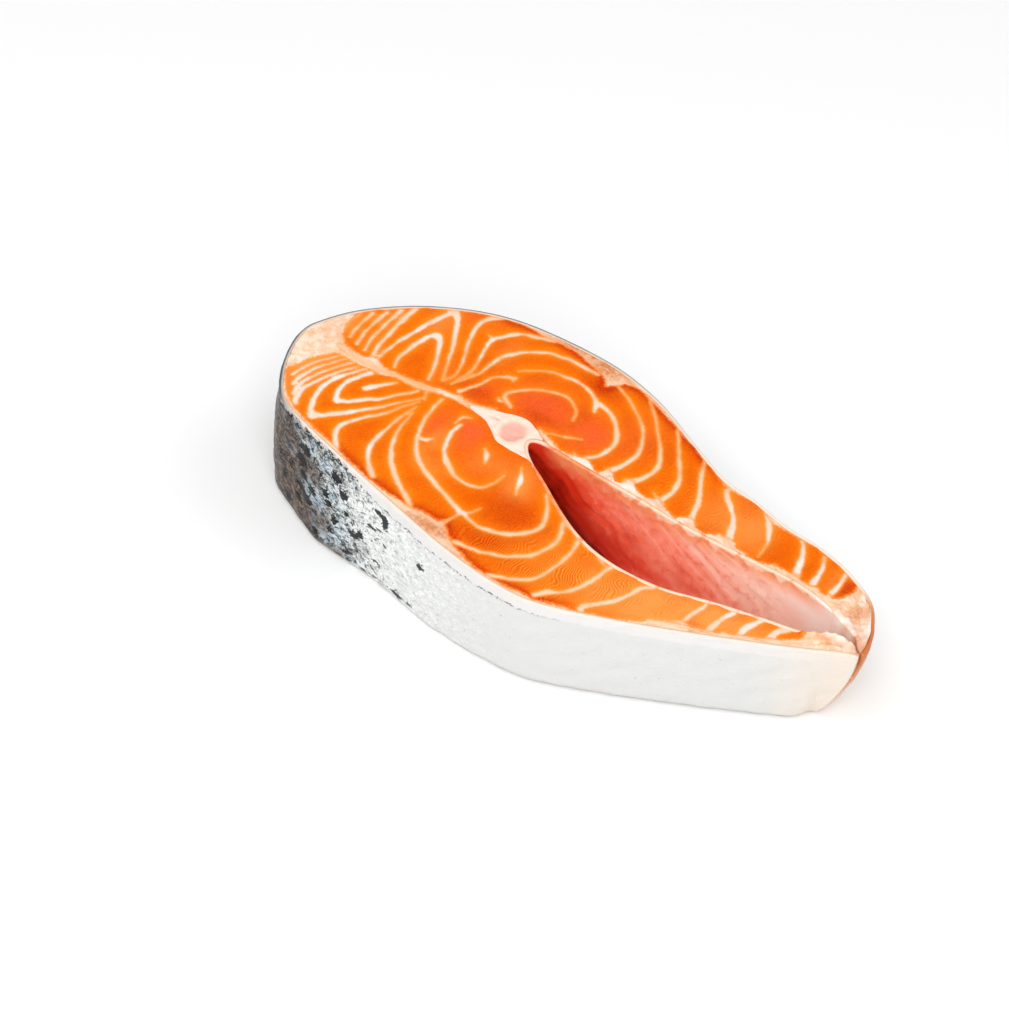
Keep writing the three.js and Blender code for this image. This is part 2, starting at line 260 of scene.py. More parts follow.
# Makes a piece from rings of equal length. Quads join each ring to the next all the way
# round, and at both ends quads join the ring's first half to its second.
def stripPiece(name, rings, uv, fields, material, node):
    columns, around = rings.shape[:2]
    column, place = np.meshgrid(np.arange(columns - 1), np.arange(around), indexing="ij")
    onward = (place + 1) % around
    body = np.stack([
        column * around + place, column * around + onward,
        (column + 1) * around + onward, (column + 1) * around + place,
    ], -1).reshape(-1, 4)
    step = np.arange(around // 2 - 1)
    end = np.stack([step, around - 1 - step, around - 2 - step, step + 1], -1)
    faces = np.vstack([body, end, end[:, ::-1] + (columns - 1) * around])
    points = rings.reshape(-1, 3).copy()
    points[:, 0] = recede(points[:, 0], points[:, 2] / topHeight(points[:, 0]))
    a, b, c, d = (points[faces[:, corner]] for corner in range(4))
    if (np.cross(a, b) * c).sum() + (np.cross(a, c) * d).sum() < 0:
        faces = faces[:, ::-1]
    mesh = bpy.data.meshes.new(name)
    mesh.from_pydata((points + np.array(shift)) / 1000, [], faces)
    layer = mesh.uv_layers.new(name="millimetres")
    corners = np.empty(len(mesh.loops), np.int32)
    mesh.loops.foreach_get("vertex_index", corners)
    layer.data.foreach_set("uv", uv.reshape(-1, 2)[corners].astype(np.float32).ravel())
    for field, values in fields.items():
        attribute = mesh.attributes.new(field, "FLOAT", "POINT")
        attribute.data.foreach_set("value", np.asarray(values, np.float32).ravel())
    mesh.shade_smooth()
    mesh.materials.append(material)
    piece = bpy.data.objects.new(name, mesh)
    bpy.context.scene.collection.objects.link(piece)
    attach(piece, "root")
    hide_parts(node)
    print(f"{name}: {2 * len(faces)} triangles")
    return piece


def linearColour(code):
    channels = [int(code[place:place + 2], 16) / 255 for place in (1, 3, 5)]
    return [c / 12.92 if c <= 0.04045 else ((c + 0.055) / 1.055) ** 2.4 for c in channels] + [1]


# Adds a shader node with its settings, gives its inputs values or links, and returns one of
# its outputs, or the node itself where it has none.
def addNode(tree, kind, settings=None, inputs=None, output=0):
    node = tree.nodes.new("ShaderNode" + kind)
    for name, value in (settings or {}).items():
        setattr(node, name, value)
    for name, value in (inputs or {}).items():
        if isinstance(value, bpy.types.NodeSocket):
            tree.links.new(value, node.inputs[name])
        elif isinstance(value, str):
            node.inputs[name].default_value = linearColour(value)
        else:
            node.inputs[name].default_value = value
    return node.outputs[output] if node.outputs else node


# Settings that many nodes share: soft ends of a range, a mix of colours, a flat pattern.
smooth = {"interpolation_type": "SMOOTHSTEP"}
inColour = {"data_type": "RGBA"}
flatNoise = {"noise_dimensions": "2D"}


def startMaterial(name):
    material = bpy.data.materials.new(name)
    material.use_nodes = True
    material.node_tree.nodes.clear()
    return material, material.node_tree


flesh = {
    "columns": 640,
    "rows": 70,                 # across each cut face, from the skin to the cavity
    "edgeRadius": 0.09,
    "bulge": 0.3,               # how far each flake swells up between its fat lines
    "bulgeWidth": 1.3,
    "valley": 0.22,             # how deep a fat line lies
    "fatLift": 0.16,            # how far fat stands over the muscle
    # uneven relief: height, wave length, seed
    "reliefWaves": {"broad": (0.12, 9, 3), "small": (0.05, 2.6, 4), "fat": (0.1, 1.7, 5),
                    "tip": (0.16, 2.2, 6)},
    # cells of each pattern per mm; a ripple is pi / 10 of its cell long, so about 0.7 mm
    "patterns": {"ripples": 0.46, "mottling": 1.1, "clouds": 0.14, "grain": 2.4, "lumps": 0.5,
                 "skinStreaks": (0.16, 0.75, 1), "seamStreaks": (0.14, 1.1, 0.2)},
    "rippleBase": 0.06,         # how strongly the ripples show outside their spots
    "rimShade": 1.05,           # darker muscle beside the fat of the flanks, and how wide
    "rimWidth": 1.9,
    "tipRounding": 0.5,         # how far the rounded ends of the flap tips stand out
    "lowerRelief": 0.5,         # relief of the lower face, as a share of the upper one's
    "muscle": "#EE6800",
    "deepMuscle": "#C63000",
    "goldMuscle": "#F98C0C",
    # amber tone, also used for painted highlights on the near whorl
    "amberMuscleAndHighlight": "#F4984A",
    "pinkMuscle": "#F45E2E",
    # painted light on the crests of the fibre ripples
    "paintedRippleLight": "#FFA028",
    "lineEdge": "#FF9640",
    "linePeach": "#FFAE78",
    "lineCore": "#FFCBA6",
    "paleLine": "#FFE3D8",
    "fat": "#F5CFB0",
    "seamFat": "#F1B988",
    "fatStreak": "#F0A068",
    "fatLump": "#EBB78F",
    "whiteFat": "#FFF4EC",
    "tan": "#D08450",
    "roughness": 0.4,
    # Fat lines. Each key line has its place in the row, its points, and its width in mm at
    # the start, the middle and the end. Lines between two key lines are blended from them.
    "lines": {
        "nearBack": [
            (0, [(-67.5, 2.2), (-70.5, -2.5), (-72.6, -7.5)], (0.5, 0.7, 0.9)),
            (4, [(-59.5, 2), (-62.5, -3), (-64.8, -9), (-65.8, -14), (-64.6, -18)],
             (0.6, 0.9, 1.4)),
        ],
        "nearChevron": [
            (0, [(-57.6, 2), (-61.4, -4.5), (-62.4, -11), (-59.2, -18.6), (-52.5, -13), (-41.5, 1)],
             (0.9, 1.6, 0.3)),
            (1, [(-55.8, 1.6), (-58.8, -5), (-57, -11), (-50, -5.5), (-43.6, 3)], (1.2, 1.2, 0.6)),
        ],
        "nearHook": [
            (0, [(-41.2, 0), (-46, -9), (-50.4, -14.8), (-51.6, -19.5), (-48.4, -25)],
             (0.2, 0.9, 1.4)),
            (2, [(-40.4, -4), (-40, -10), (-38.2, -16.5), (-33.5, -23.4), (-24.6, -30.2)],
             (0.2, 1.2, 1.2)),
            (3, [(-37.2, 4), (-37, -4), (-33.8, -13), (-28, -18.8), (-13.6, -25.7)],
             (0.7, 1.1, 1.2)),
        ],
        "nearWhorl": [
            (0, [(-29, -1), (-29.4, -5), (-26.6, -12), (-20, -16.8), (-13.6, -15.4), (-12.1, -9.5)],
             (0.8, 1.3, 0.2)),
        ],
        "nearBelly": [
            (0, [(-13, -25.7), (-8, -27), (-1.5, -25), (3, -19.4), (1.8, -13.6), (-0.8, -9.4)],
             (0.9, 1.2, 0.7)),
            (1, [(-10.4, -34.2), (-3, -33.2), (5, -28.6), (8.4, -21), (6.8, -14.8)],
             (1.0, 0.9, 1.0)),
            (2, [(1, -38.6), (8.6, -34.8), (11.4, -30), (12.7, -21.5), (12.2, -18)],
             (1.0, 0.9, 0.9)),
            (4, [(23.8, -36.4), (22.9, -34.2), (28, -28.4), (30.8, -22), (33, -20.2)],
             (1.5, 1.1, 1.1)),
        ],
        "nearFlap": [
            (0, [(42.4, -28.4), (43.2, -24), (44.8, -17.6)], (1.1, 1.1, 0.8)),
            (3, [(61, -19), (61.4, -16), (63.4, -13)], (2.0, 1.7, 1.4)),
        ],
        "farBack": [
            (0, [(-70, 10.6), (-70.4, 14), (-70, 17.6)], (0.8, 0.6, 0.8)),
            (4, [(-58.9, 6.6), (-60, 12), (-60.2, 20), (-60, 28)], (1.0, 1.0, 1.6)),
        ],
        "farChevron": [
            (0, [(-57.6, 7), (-56.2, 18), (-51.6, 32.4), (-46, 23.6), (-40.9, 10)],
             (0.8, 1.6, 0.4)),
            (1, [(-52.5, 6.6), (-53.6, 12), (-50.5, 23.2), (-45.6, 14.4), (-43.7, 8)],
             (0.7, 1.3, 0.7)),
        ],
        "farHook": [
            (0, [(-40.5, 9.6), (-39.4, 15), (-43.4, 27), (-44.1, 34.4), (-41, 38.2)],
             (0.2, 0.8, 1.4)),
            (1, [(-38, 11), (-36.9, 18), (-38.6, 29.6), (-33.4, 36), (-26, 38.6)],
             (0.2, 1.0, 1.3)),
            (2, [(-38.4, 10), (-35, 17), (-32.6, 27.4), (-23.4, 34.4), (-11.4, 34.2)],
             (0.3, 1.0, 0.8)),
        ],
        "farWhorl": [
            (0, [(-35.4, 8.6), (-33.2, 13.2), (-30.8, 18.6), (-27, 20.8)], (1.0, 0.6, 0.8)),
        ],
        "farCentre": [
            (0, [(-22.8, 11.4), (-26, 15), (-21, 20.2), (-14.4, 22.8), (-9.6, 20), (-8.2, 16.4)],
             (0.9, 0.6, 0.4)),
            (1, [(-27.3, 23.4), (-23, 27.4), (-14, 29), (-8, 26.6), (-5.6, 22.2)],
             (0.2, 0.8, 1.0)),
        ],
        "farBelly": [
            (0, [(-5.8, 25.2), (-0.6, 22.8), (3.4, 16.4), (3, 10.4), (0.4, 6.8)], (1.2, 1.1, 0.8)),
            (1, [(-5.2, 33.6), (1.5, 29.2), (7.4, 22.6), (9.9, 14.4), (7.2, 6.6)],
             (0.4, 0.7, 1.3)),
            (2, [(3.6, 33.6), (10, 25.4), (15.4, 16), (14.8, 9.4), (12, 5.8)], (0.4, 0.7, 1.5)),
            (4, [(24, 22.8), (26, 16.6), (28.6, 10.4), (30.2, 3.4)], (0.8, 1.1, 1.6)),
        ],
        "farFlap": [
            (0, [(33.8, 18.4), (32.8, 16.6), (38, 9.8), (40.2, 2.6)], (1.5, 1.1, 1.7)),
            (1, [(44.2, 15.8), (46.2, 11.6), (47.8, 7.4), (48, 2.4)], (2.2, 0.9, 0.1)),
            (2, [(54.2, 13), (56.2, 8.6), (57.4, 2.4)], (0.9, 1.2, 2.0)),
            (4, [(67, 9.8), (66.9, 6), (66.4, 1.8)], (0.8, 0.9, 1.2)),
        ],
    },
    # Single marks beside those rows: spurs, streaks, torn bits of membrane, two painted highlights.
    "marks": [
        ([(-54, -3.8), (-51.4, -0.4), (-49, 2.2)], (1.6, 1.3, 0.4)),
        ([(-59.4, -19), (-59, -19.4), (-58.4, -19)], (2.0, 2.2, 2.0)),
        ([(-57.6, -11.2), (-57, -11.6), (-56.4, -11)], (1.5, 1.7, 1.5)),
        ([(-34.4, -10.3), (-33.2, -10.4), (-31.8, -8.9)], (0.9, 1.1, 0.3)),
        ([(-30.4, -1.2), (-30, 1.6), (-28.2, 2.4)], (0.3, 0.8, 0.3)),
        # painted highlights: this mark and the next stand for wet gloss on the near whorl
        ([(-20.2, -4.6), (-18.8, -6.2), (-17.7, -8.6)], (0.5, 1.3, 0.3)),
        ([(-9.9, -5.2), (-8.2, -8.4), (-6.7, -13.2)], (0.3, 1.4, 0.4)),
        ([(-14.2, -25.9), (-13.3, -25.3), (-12.4, -25.9)], (1.2, 1.6, 1.0)),
        ([(-13.2, -25.4), (-11.9, -24), (-11, -22)], (0.9, 0.4, 0.1)),
        ([(-13.6, -26), (-14.4, -28), (-15.6, -31)], (0.5, 0.4, 0.8)),
        ([(-52.4, 32.2), (-51.6, 32.9), (-50.8, 32.2)], (1.8, 2.1, 1.8)),
        ([(-51, 22), (-50.5, 22.9), (-50, 22)], (1.4, 1.7, 1.4)),
        ([(-40.2, 30.6), (-39.4, 30.4), (-38.6, 29.6)], (0.3, 0.7, 1.3)),
        ([(-29.4, 20.3), (-27.6, 20.5), (-26.8, 21)], (0.3, 0.9, 0.6)),
        ([(-27.2, 20.4), (-26.9, 19.8)], (0.7, 0.6, 0.4)),
        ([(-26.6, 12.4), (-26.2, 11.7), (-25, 12.2)], (0.5, 0.9, 0.4)),
        ([(-7.2, 26), (-6.2, 24.8), (-5.8, 22.6)], (0.6, 1.3, 0.8)),
        ([(-11.6, 8.6), (-9, 9.4), (-7, 10.2)], (0.3, 0.2, 0.2)),
        ([(-7, 10.2), (-5.6, 10.9), (-3.4, 11.9)], (0.7, 0.4, 0.1)),
        ([(-42.2, 5.6), (-41.4, 3.4), (-40.5, 1.2)], (0.7, 0.5, 0.2)),
        ([(-1.2, -7.6), (0.4, -8.9), (2.3, -10.5)], (0.8, 1.4, 0.4)),
        ([(4.4, -11.7), (6, -12.9), (7.9, -14.9)], (1.3, 1.3, 0.8)),
        ([(7.6, -14.6), (10.4, -16), (13, -17.4), (15.6, -18.6)], (0.8, 0.7, 0.4)),
        ([(18.6, -19.4), (20.4, -20.6), (21.6, -20.8)], (0.8, 0.7, 0.2)),
        ([(-2.6, 6.9), (-1.6, 6), (0, 5.4)], (0.2, 0.7, 0.9)),
        ([(19.2, 6.2), (20.4, 5.4), (22.4, 4.2)], (0.3, 0.9, 0.8)),
    ],
    # Raised bits: points, width, and height over the cut face.
    "ridges": [
        ([(-1.4, -7.4), (0.6, -9.1)], 1.3, 0.4),
        ([(4.2, -11.6), (5.8, -12.8), (7.6, -14.2)], 1.2, 0.9),
        ([(7.8, -14.4), (11, -16.4), (15, -18.2)], 0.9, 0.35),
        ([(66.5, -13.2), (69.6, -11.6), (71.6, -10.4), (73.4, -9.6), (75, -9.8), (77, -10.8)],
         1.7, 1.2),
        ([(70.5, -14), (73.5, -12.6), (76, -11.6)], 1.2, 0.5),
        ([(76.4, 2.4), (78, -1), (78.8, -4.4), (78.8, -7)], 1.7, 0.9),
        ([(70, -2.6), (72.6, -4), (74.8, -5.6), (76.8, -7)], 1.6, 0.6),
        ([(71.6, 2.4), (73.8, 1.2), (75.4, -1.6)], 1.4, 0.4),
        ([(32, 1.2), (35, 1.1), (38, 1.8)], 1.6, 0.35),
        ([(19.2, 2.8), (21.4, 2.4), (23.4, 2.4)], 1.4, 0.3),
        ([(8.6, 4.2), (10.6, 3.6), (12.4, 4.4)], 1.5, 0.35),
    ],
    # Outlines of the fat: at the back, the seam, along each flank, at the cavity, the tips.
    "fatZones": [
        [(-66, 4.4), (-68.6, 0.4), (-71, -3.4), (-72.8, -8.4), (-73.6, -13), (-80, -14), (-82, 5),
         (-80, 20), (-71.5, 20.4), (-70.7, 16.5), (-70.5, 12), (-69, 9), (-66.6, 6.4)],
        [(-68, 6.8), (-63, 5.5), (-60.6, 5.6), (-59, 6.8), (-57.4, 6.9), (-55, 5.6), (-50, 5.3),
         (-46, 5.9), (-42, 6.3), (-39, 7.1), (-36, 7.1), (-34.6, 8), (-33, 7.1), (-29, 7.3),
         (-25, 8.6), (-25, 4), (-29, 4.9), (-34, 5.3), (-38, 5.1), (-41, 4), (-44, 3.4),
         (-48, 3.4), (-51, 3.2), (-54, 2.4), (-60, 2.3), (-68, 2.6)],
        [(-72.8, -10), (-71, -13), (-69, -15.5), (-66, -18.1), (-62, -20.4), (-58, -22),
         (-54, -23.2), (-50, -24.5), (-46, -26), (-42, -27.5), (-38, -28.7), (-34, -29.8),
         (-30, -30.7), (-25, -30.9), (-20, -31), (-16.6, -31.1), (-15.6, -30), (-15, -31.4),
         (-12.6, -33.6), (-9.6, -35.6), (-6, -37.5), (-2, -38.8), (3, -39.2), (8, -39.3),
         (12, -39.1), (16, -38.3), (20, -37.2), (24, -36), (28, -34.6), (32, -32.8),
         (35.3, -31.2), (36.8, -29), (39, -27.8), (41.2, -26.2), (42.6, -25.3), (44, -25.8),
         (45.6, -25.9), (47.3, -24.9), (48.8, -24.4), (50.6, -23.9), (52.6, -22.7), (54.6, -21.8),
         (56.6, -20.8), (58.2, -20.4), (60, -19.2), (62, -18), (63.4, -17.4), (65, -16.2),
         (66.8, -14.8), (67.2, -13.2), (66, -12.3), (66.2, -8), (84, -8), (84, -24), (40, -46),
         (-20, -50), (-84, -30), (-84, -10)],
        [(-70.4, 18.2), (-68.6, 21), (-66, 23.6), (-61.6, 27.4), (-57, 30.9), (-51, 34.4),
         (-45, 37), (-40, 38.6), (-35, 39.3), (-30, 39.2), (-25, 38.8), (-20, 38.5), (-16, 37.2),
         (-13, 36), (-11, 35.2), (-9, 34), (-7.6, 31.8), (-6.6, 33.2), (-5.2, 34.4),
         (-4.4, 35.6), (-1, 35.8), (2, 34.9), (6, 33.2), (10, 31), (15, 28.4), (20, 25.6),
         (25, 22.6), (30, 19.6), (32, 18.6), (34, 17.8), (40, 17.5), (42, 16.8), (44.6, 15.2),
         (46.6, 14), (50, 13.6), (54, 13.4), (57, 13), (60.6, 12.4), (62, 12.2), (64.2, 11.2),
         (67.4, 9.6), (69, 8.3), (70.2, 8), (70.9, 6.4), (70.8, 5), (70, 3), (68.5, 1.2),
         (67.2, 0.7), (66.3, 1.5), (65.4, 0.3), (64.3, 0.5), (63.2, 1.4), (62, 1), (59, 1.3),
         (57.6, 2.6), (56.2, 1.9), (52, 1.9), (50.5, 1.1), (48.5, 0.5), (45, 1.1), (42.4, 1.8),
         (41.6, 3), (40, 3.4), (37.5, 3), (36, 1.9), (34.4, 0.9), (32, 1.7), (31, 3.4),
         (29.8, 4), (28.2, 3), (27, 1.6), (24, 2.9), (22.4, 4), (20.6, 5.4), (19, 3.6),
         (16, 4), (14.2, 5.4), (13.4, 7), (12, 6.4), (11.4, 4.6), (10, 3.8), (8.8, 4.9),
         (8, 6.2), (6.6, 7), (6, 5.4), (5.6, 3.9), (4, 4.4), (1.6, 6.3), (0.2, 6.6),
         (-1.6, 5.8), (-3, 5.7), (-5, 5.5), (-7, 6), (-9.5, 7.2), (-11.8, 8.4), (-13.4, 9),
         (-13, 0), (66, -9), (76, -12), (84, -12), (84, 12), (40, 30), (0, 46), (-50, 46),
         (-76, 30), (-72, 18)],
    ],
    # Tones: place, two radii and amount of each soft spot.
    "deepSpots": [
        (-16, 16, 7, 5, 0.22), (-3, -20, 7, 6, 0.55), (-11, -20, 7, 4, 0.25),
        (-6, -31, 9, 3.4, 0.5), (-9, 30, 6, 3, 0.7), (-35, 21, 3, 8, 0.25),
        (-32, 11, 5, 3, 0.4), (-15, 12, 7, 2, 0.4), (-7, 18, 2.5, 5, 0.3),
        (-44, -18, 7, 5, 0.2), (69, 5, 3, 4, 0.8), (52, 6, 5, 6, 0.25), (60, 7, 3, 6, 0.25),
        (45, -25, 2, 2, 0.3), (12, 20, 14, 8, 0.25),
    ],
    "amberAndHighlightSpots": [
        (33, -28, 10, 6, 1.0), (40, -22, 10, 5, 0.8), (53, -20, 9, 5, 0.95), (-70, -8, 5, 9, 0.8),
        (-66, 0, 6, 4, 0.5), (-70.4, 14, 1.8, 4, 1.0), (-52, 27, 3, 6, 0.5), (-33, 28, 2.4, 6, 0.3),
        (36, 9, 6, 7, 0.5), (44, 9, 4, 8, 0.6), (66, 6, 2, 5, 0.4), (-31, -8, 2.4, 6, 0.5),
        # the spots on the near whorl at (-8, -9), (-14, -8), (-6, -13) and (-19, -10) are painted
        # highlights
        (-27, -17, 5, 3, 0.3), (-8, -9, 3.4, 6, 0.55), (-14, -8, 3, 4, 0.3),
        (-42, 34, 5, 3, 0.1), (10, -28, 9, 9, 0.2),
        (22, -28, 6, 9, 0.3), (-6, -13, 3, 3, 0.4), (-19, -10, 3, 4, 0.3),
    ],
    "pinkSpots": [
        (-16, 16, 8, 6, 1.0), (-2, 14, 5, 6, 0.9), (-26, -1, 4, 3, 0.9), (-25, -6, 3, 4, 0.6),
        (-34, -4, 2, 5, 0.7), (-31, 12, 3, 4, 0.5), (-18, -6, 3, 3, 0.3), (8, 20, 5, 9, 0.4),
        (-42, 13, 3, 5, 0.3), (-47, 34, 4, 3, 0.3),
    ],
    "tanSpots": [
        (80.5, -8.4, 3, 4.6, 1.6), (76.6, -8.2, 2.4, 1.4, 0.9), (72.6, -6.4, 2.4, 1.4, 0.7),
        (-18, 40, 12, 1.6, 1.0), (-10, 37, 5, 3, 1.0), (-17, -33.6, 7, 2, 1.0),
        (71, -11.6, 4.6, 1.3, 0.5), (66.6, -12.6, 1.4, 1, 0.6), (-69.5, 10, 3, 2.4, 0.25),
        (74, -1.6, 2.4, 4, 0.75), (-6, -36.2, 3, 1.2, 0.4),
    ],
    "whiteSpots": [
        (78.4, -2.4, 1.1, 5, 1.2), (71.6, -4.4, 3.6, 1.1, 0.9), (74.6, -6.4, 1.8, 1, 0.7),
        (3.6, 5, 3, 1.3, 0.8), (14, 4.4, 3, 1.3, 0.8), (27, 2.4, 3, 1.2, 0.7),
        (4.6, -12, 1.2, 1.2, 1.0), (-0.6, -8, 1.2, 1, 0.8), (11, -16.4, 4, 0.9, 0.7),
        (74.4, -9.8, 3, 0.9, 0.8), (35, 1.2, 3, 1, 0.5), (10, 4.2, 1.6, 1.4, 0.6),
        (21, 3.2, 2, 1.2, 0.5), (0, 5.6, 2, 1.2, 0.6), (-37, 6.2, 3, 0.8, 0.5),
        (-58, 5.6, 3, 1.2, 0.5),
    ],
    "seamSpots": [(-46, 5.5, 22, 4, 1.0)],
    # How strongly the fine fibre ripples show.
    "rippleSpots": [
        (8, -30, 16, 7, 0.9), (20, -24, 12, 8, 0.8), (34, -26, 14, 8, 0.9), (-44, -22, 14, 4, 0.4),
        (-26, -26, 12, 4, 0.4), (34, 10, 30, 8, 0.45), (-56, 26, 8, 8, 0.25),
        (58, -18, 12, 6, 0.5), (6, 24, 10, 6, 0.3),
    ],
    # Where the fat lines are almost white.
    "paleSpots": [
        (-58, -9, 12, 10, 1.0), (-44, -20, 9, 9, 0.7), (-52, 24, 9, 12, 0.9), (-38, 24, 6, 12, 0.6),
        (-20, 28, 14, 8, 0.5), (-29, -8, 3, 9, 0.8), (-13, -25.6, 3, 1.4, 1.0),
        # the spots at (-17, -10) and (-8, -8) make the two painted highlight streaks almost white
        (46, 8, 16, 9, 0.8), (64, 4, 8, 8, 0.8), (56, -18, 14, 6, 0.9), (-17, -10, 4, 6, 0.8),
        (-8, -8, 3, 6, 0.9), (2, 9, 12, 4, 0.5), (-50, 4, 20, 4, 0.5), (-66, -6, 5, 9, 0.5),
        (-5, 11, 4, 2, 0.9), (-12, 22, 8, 5, 0.5), (26, -24, 6, 6, 0.4),
    ],
}


# The list of all fat lines with their widths, blended lines and single marks included.
# Two of the single marks are painted highlights.
def fatLinesAndHighlightStreaks():
    drawn = list(flesh["marks"])
    for keys in flesh["lines"].values():
        drawn += [(points, width) for _, points, width in keys]
        for (place, points, width), (nextPlace, nextPoints, nextWidth) in zip(keys, keys[1:]):
            ends = smoothLine(points, count=7), smoothLine(nextPoints, count=7)
            for between in range(place + 1, nextPlace):
                share = (between - place) / (nextPlace - place)
                blend = np.array(width) * (1 - share) + np.array(nextWidth) * share
                drawn.append((ends[0] * (1 - share) + ends[1] * share, blend))
    return drawn


# Where the flesh ends towards the middle: the near cavity wall, round the backbone and the
# far cavity wall, each point moved out to leave room for the lining.
def innerEdge():
    cavity = steak["cavity"]
    points = cavity[:13:-1] + steak["boneNear"] + steak["boneFar"][1:] + cavity[9::-1]
    line = smoothLine(points, step=0.2)
    lined = steak["liningThickness"] + steak["joint"]
    x = line[:, 0]
    reach = steak["linedReach"]
    room = lined * smoothStep(x, -9, -5) * (1 - smoothStep(x, reach - 1, reach + 3))
    return line + leftOf(line) * np.maximum(room, steak["joint"] * (x < reach))[:, None]


# Matches lengths along the flank to lengths along the inner edge by pairs of marked places,
# with the steps between them evened out by a running mean.
def matchedLengths(outer, inner, at):
    pairs = [
        (steak["flank"][0], steak["cavity"][-1]),
        ((50, -26.3), (51, -15)), ((14, -40.2), (12, -16)),
        ((-16, -36.8), (-9, -2.2)), ((-42, -29), (-19.2, -0.9)), ((-60, -22.7), (-27, 4.5)),
        ((-78, 3), (-30.8, 5.9)), ((-61, 29), (-27, 7.6)), ((-40, 39), (-20, 9.7)),
        ((-14, 40.4), (-10.8, 6.6)), ((12, 31.5), (6, 3)), ((50, 15.1), (47, 0)),
        (steak["flank"][-1], steak["cavity"][0]),
    ]
    runs = lengths(outer), lengths(inner)
    marks = [
        [run[np.hypot(*(line - mark).T).argmin()] for mark in column]
        for line, run, column in zip((outer, inner), runs, zip(*pairs))
    ]
    matched = np.interp(at, *marks)
    reach = 20
    padded = np.concatenate([2 * matched[0] - matched[reach:0:-1], matched,
                             2 * matched[-1] - matched[-2:-2 - reach:-1]])
    window = 2 * reach + 1
    return np.convolve(padded, np.ones(window) / window, "valid")


# Rows of places straight across one cut face, closer together at both edges, and how far the
# quarter-round edges drop at each.
def faceRows(start, end):
    radius = flesh["edgeRadius"]
    edge = radius * np.array([[0, 0.15, 0.5]])
    span = np.hypot(*(end - start).T)[:, None]
    middle = radius + np.linspace(0, 1, flesh["rows"] - 6)[None] * (span - 2 * radius)
    run = np.hstack([edge.repeat(len(span), 0), middle, span - edge[:, ::-1]])
    share = (run / span)[..., None]
    toEdge = np.minimum(run, span - run)
    drop = radius * quarterRound(toEdge / radius)
    return start[:, None] * (1 - share) + end[:, None] * share, drop


# Levels of the rows on the two walls, in the order that the ring passes them.
wallLevels = {"upperOut": [0.55, 0.8], "in": [0.85, 0.6, 0.4, 0.15], "lowerOut": [0.07, 0.3]}


# Relief of the cut face: each flake swells between its fat lines by one minus a bell curve of
# the distance to them, with soft waves over it, crumbly fat and the raised bits.
def cutRelief(x, y, gap, half, fat):
    swell = 1 - np.exp(-((np.maximum(gap - half, 0) / flesh["bulgeWidth"]) ** 2))
    swell *= 1 - smoothStep(fat, -0.8, 0.4)
    uneven = {name: height * waves(x, y, size, seed)
              for name, (height, size, seed) in flesh["reliefWaves"].items()}
    relief = flesh["bulge"] * swell - flesh["valley"] + uneven["broad"] + uneven["small"]
    relief += smoothStep(fat, -0.2, 1) * (flesh["fatLift"] + uneven["fat"])
    relief += smoothStep(x, 66, 70) * uneven["tip"]
    places = np.stack([x.ravel(), y.ravel()], 1).astype(np.float32)
    for points, width, height in flesh["ridges"]:
        _, near, _ = nearestLine(places, [(points, (0, 0, 0))])
        relief += height * np.exp(-((near.reshape(x.shape) / (width / 2)) ** 2))
    return relief


# Closes the band's two ends: the end ring is repeated, pressed towards its middle height by
# a cosine and moved outwards by a sine, so that each flap tip ends in a rounded face.
def roundedEnds(rings):
    turns = np.linspace(0, 1.52, 8)[1:, None]   # radians, almost a quarter turn
    grown = []
    for end, beside in ((rings[0], rings[1]), (rings[-1], rings[-2])):
        outwards = (end - beside)[:, :2].mean(0)
        outwards /= np.hypot(*outwards)
        middle = (end[:, 2] + end[::-1, 2]) / 2
        high = middle + (end[:, 2] - middle) * np.cos(turns)
        flat = end[:, :2] + flesh["tipRounding"] * np.sin(turns)[..., None] * outwards
        grown.append(np.concatenate([flat, high[..., None]], 2))
    return np.concatenate([grown[0][::-1], rings, grown[1]])


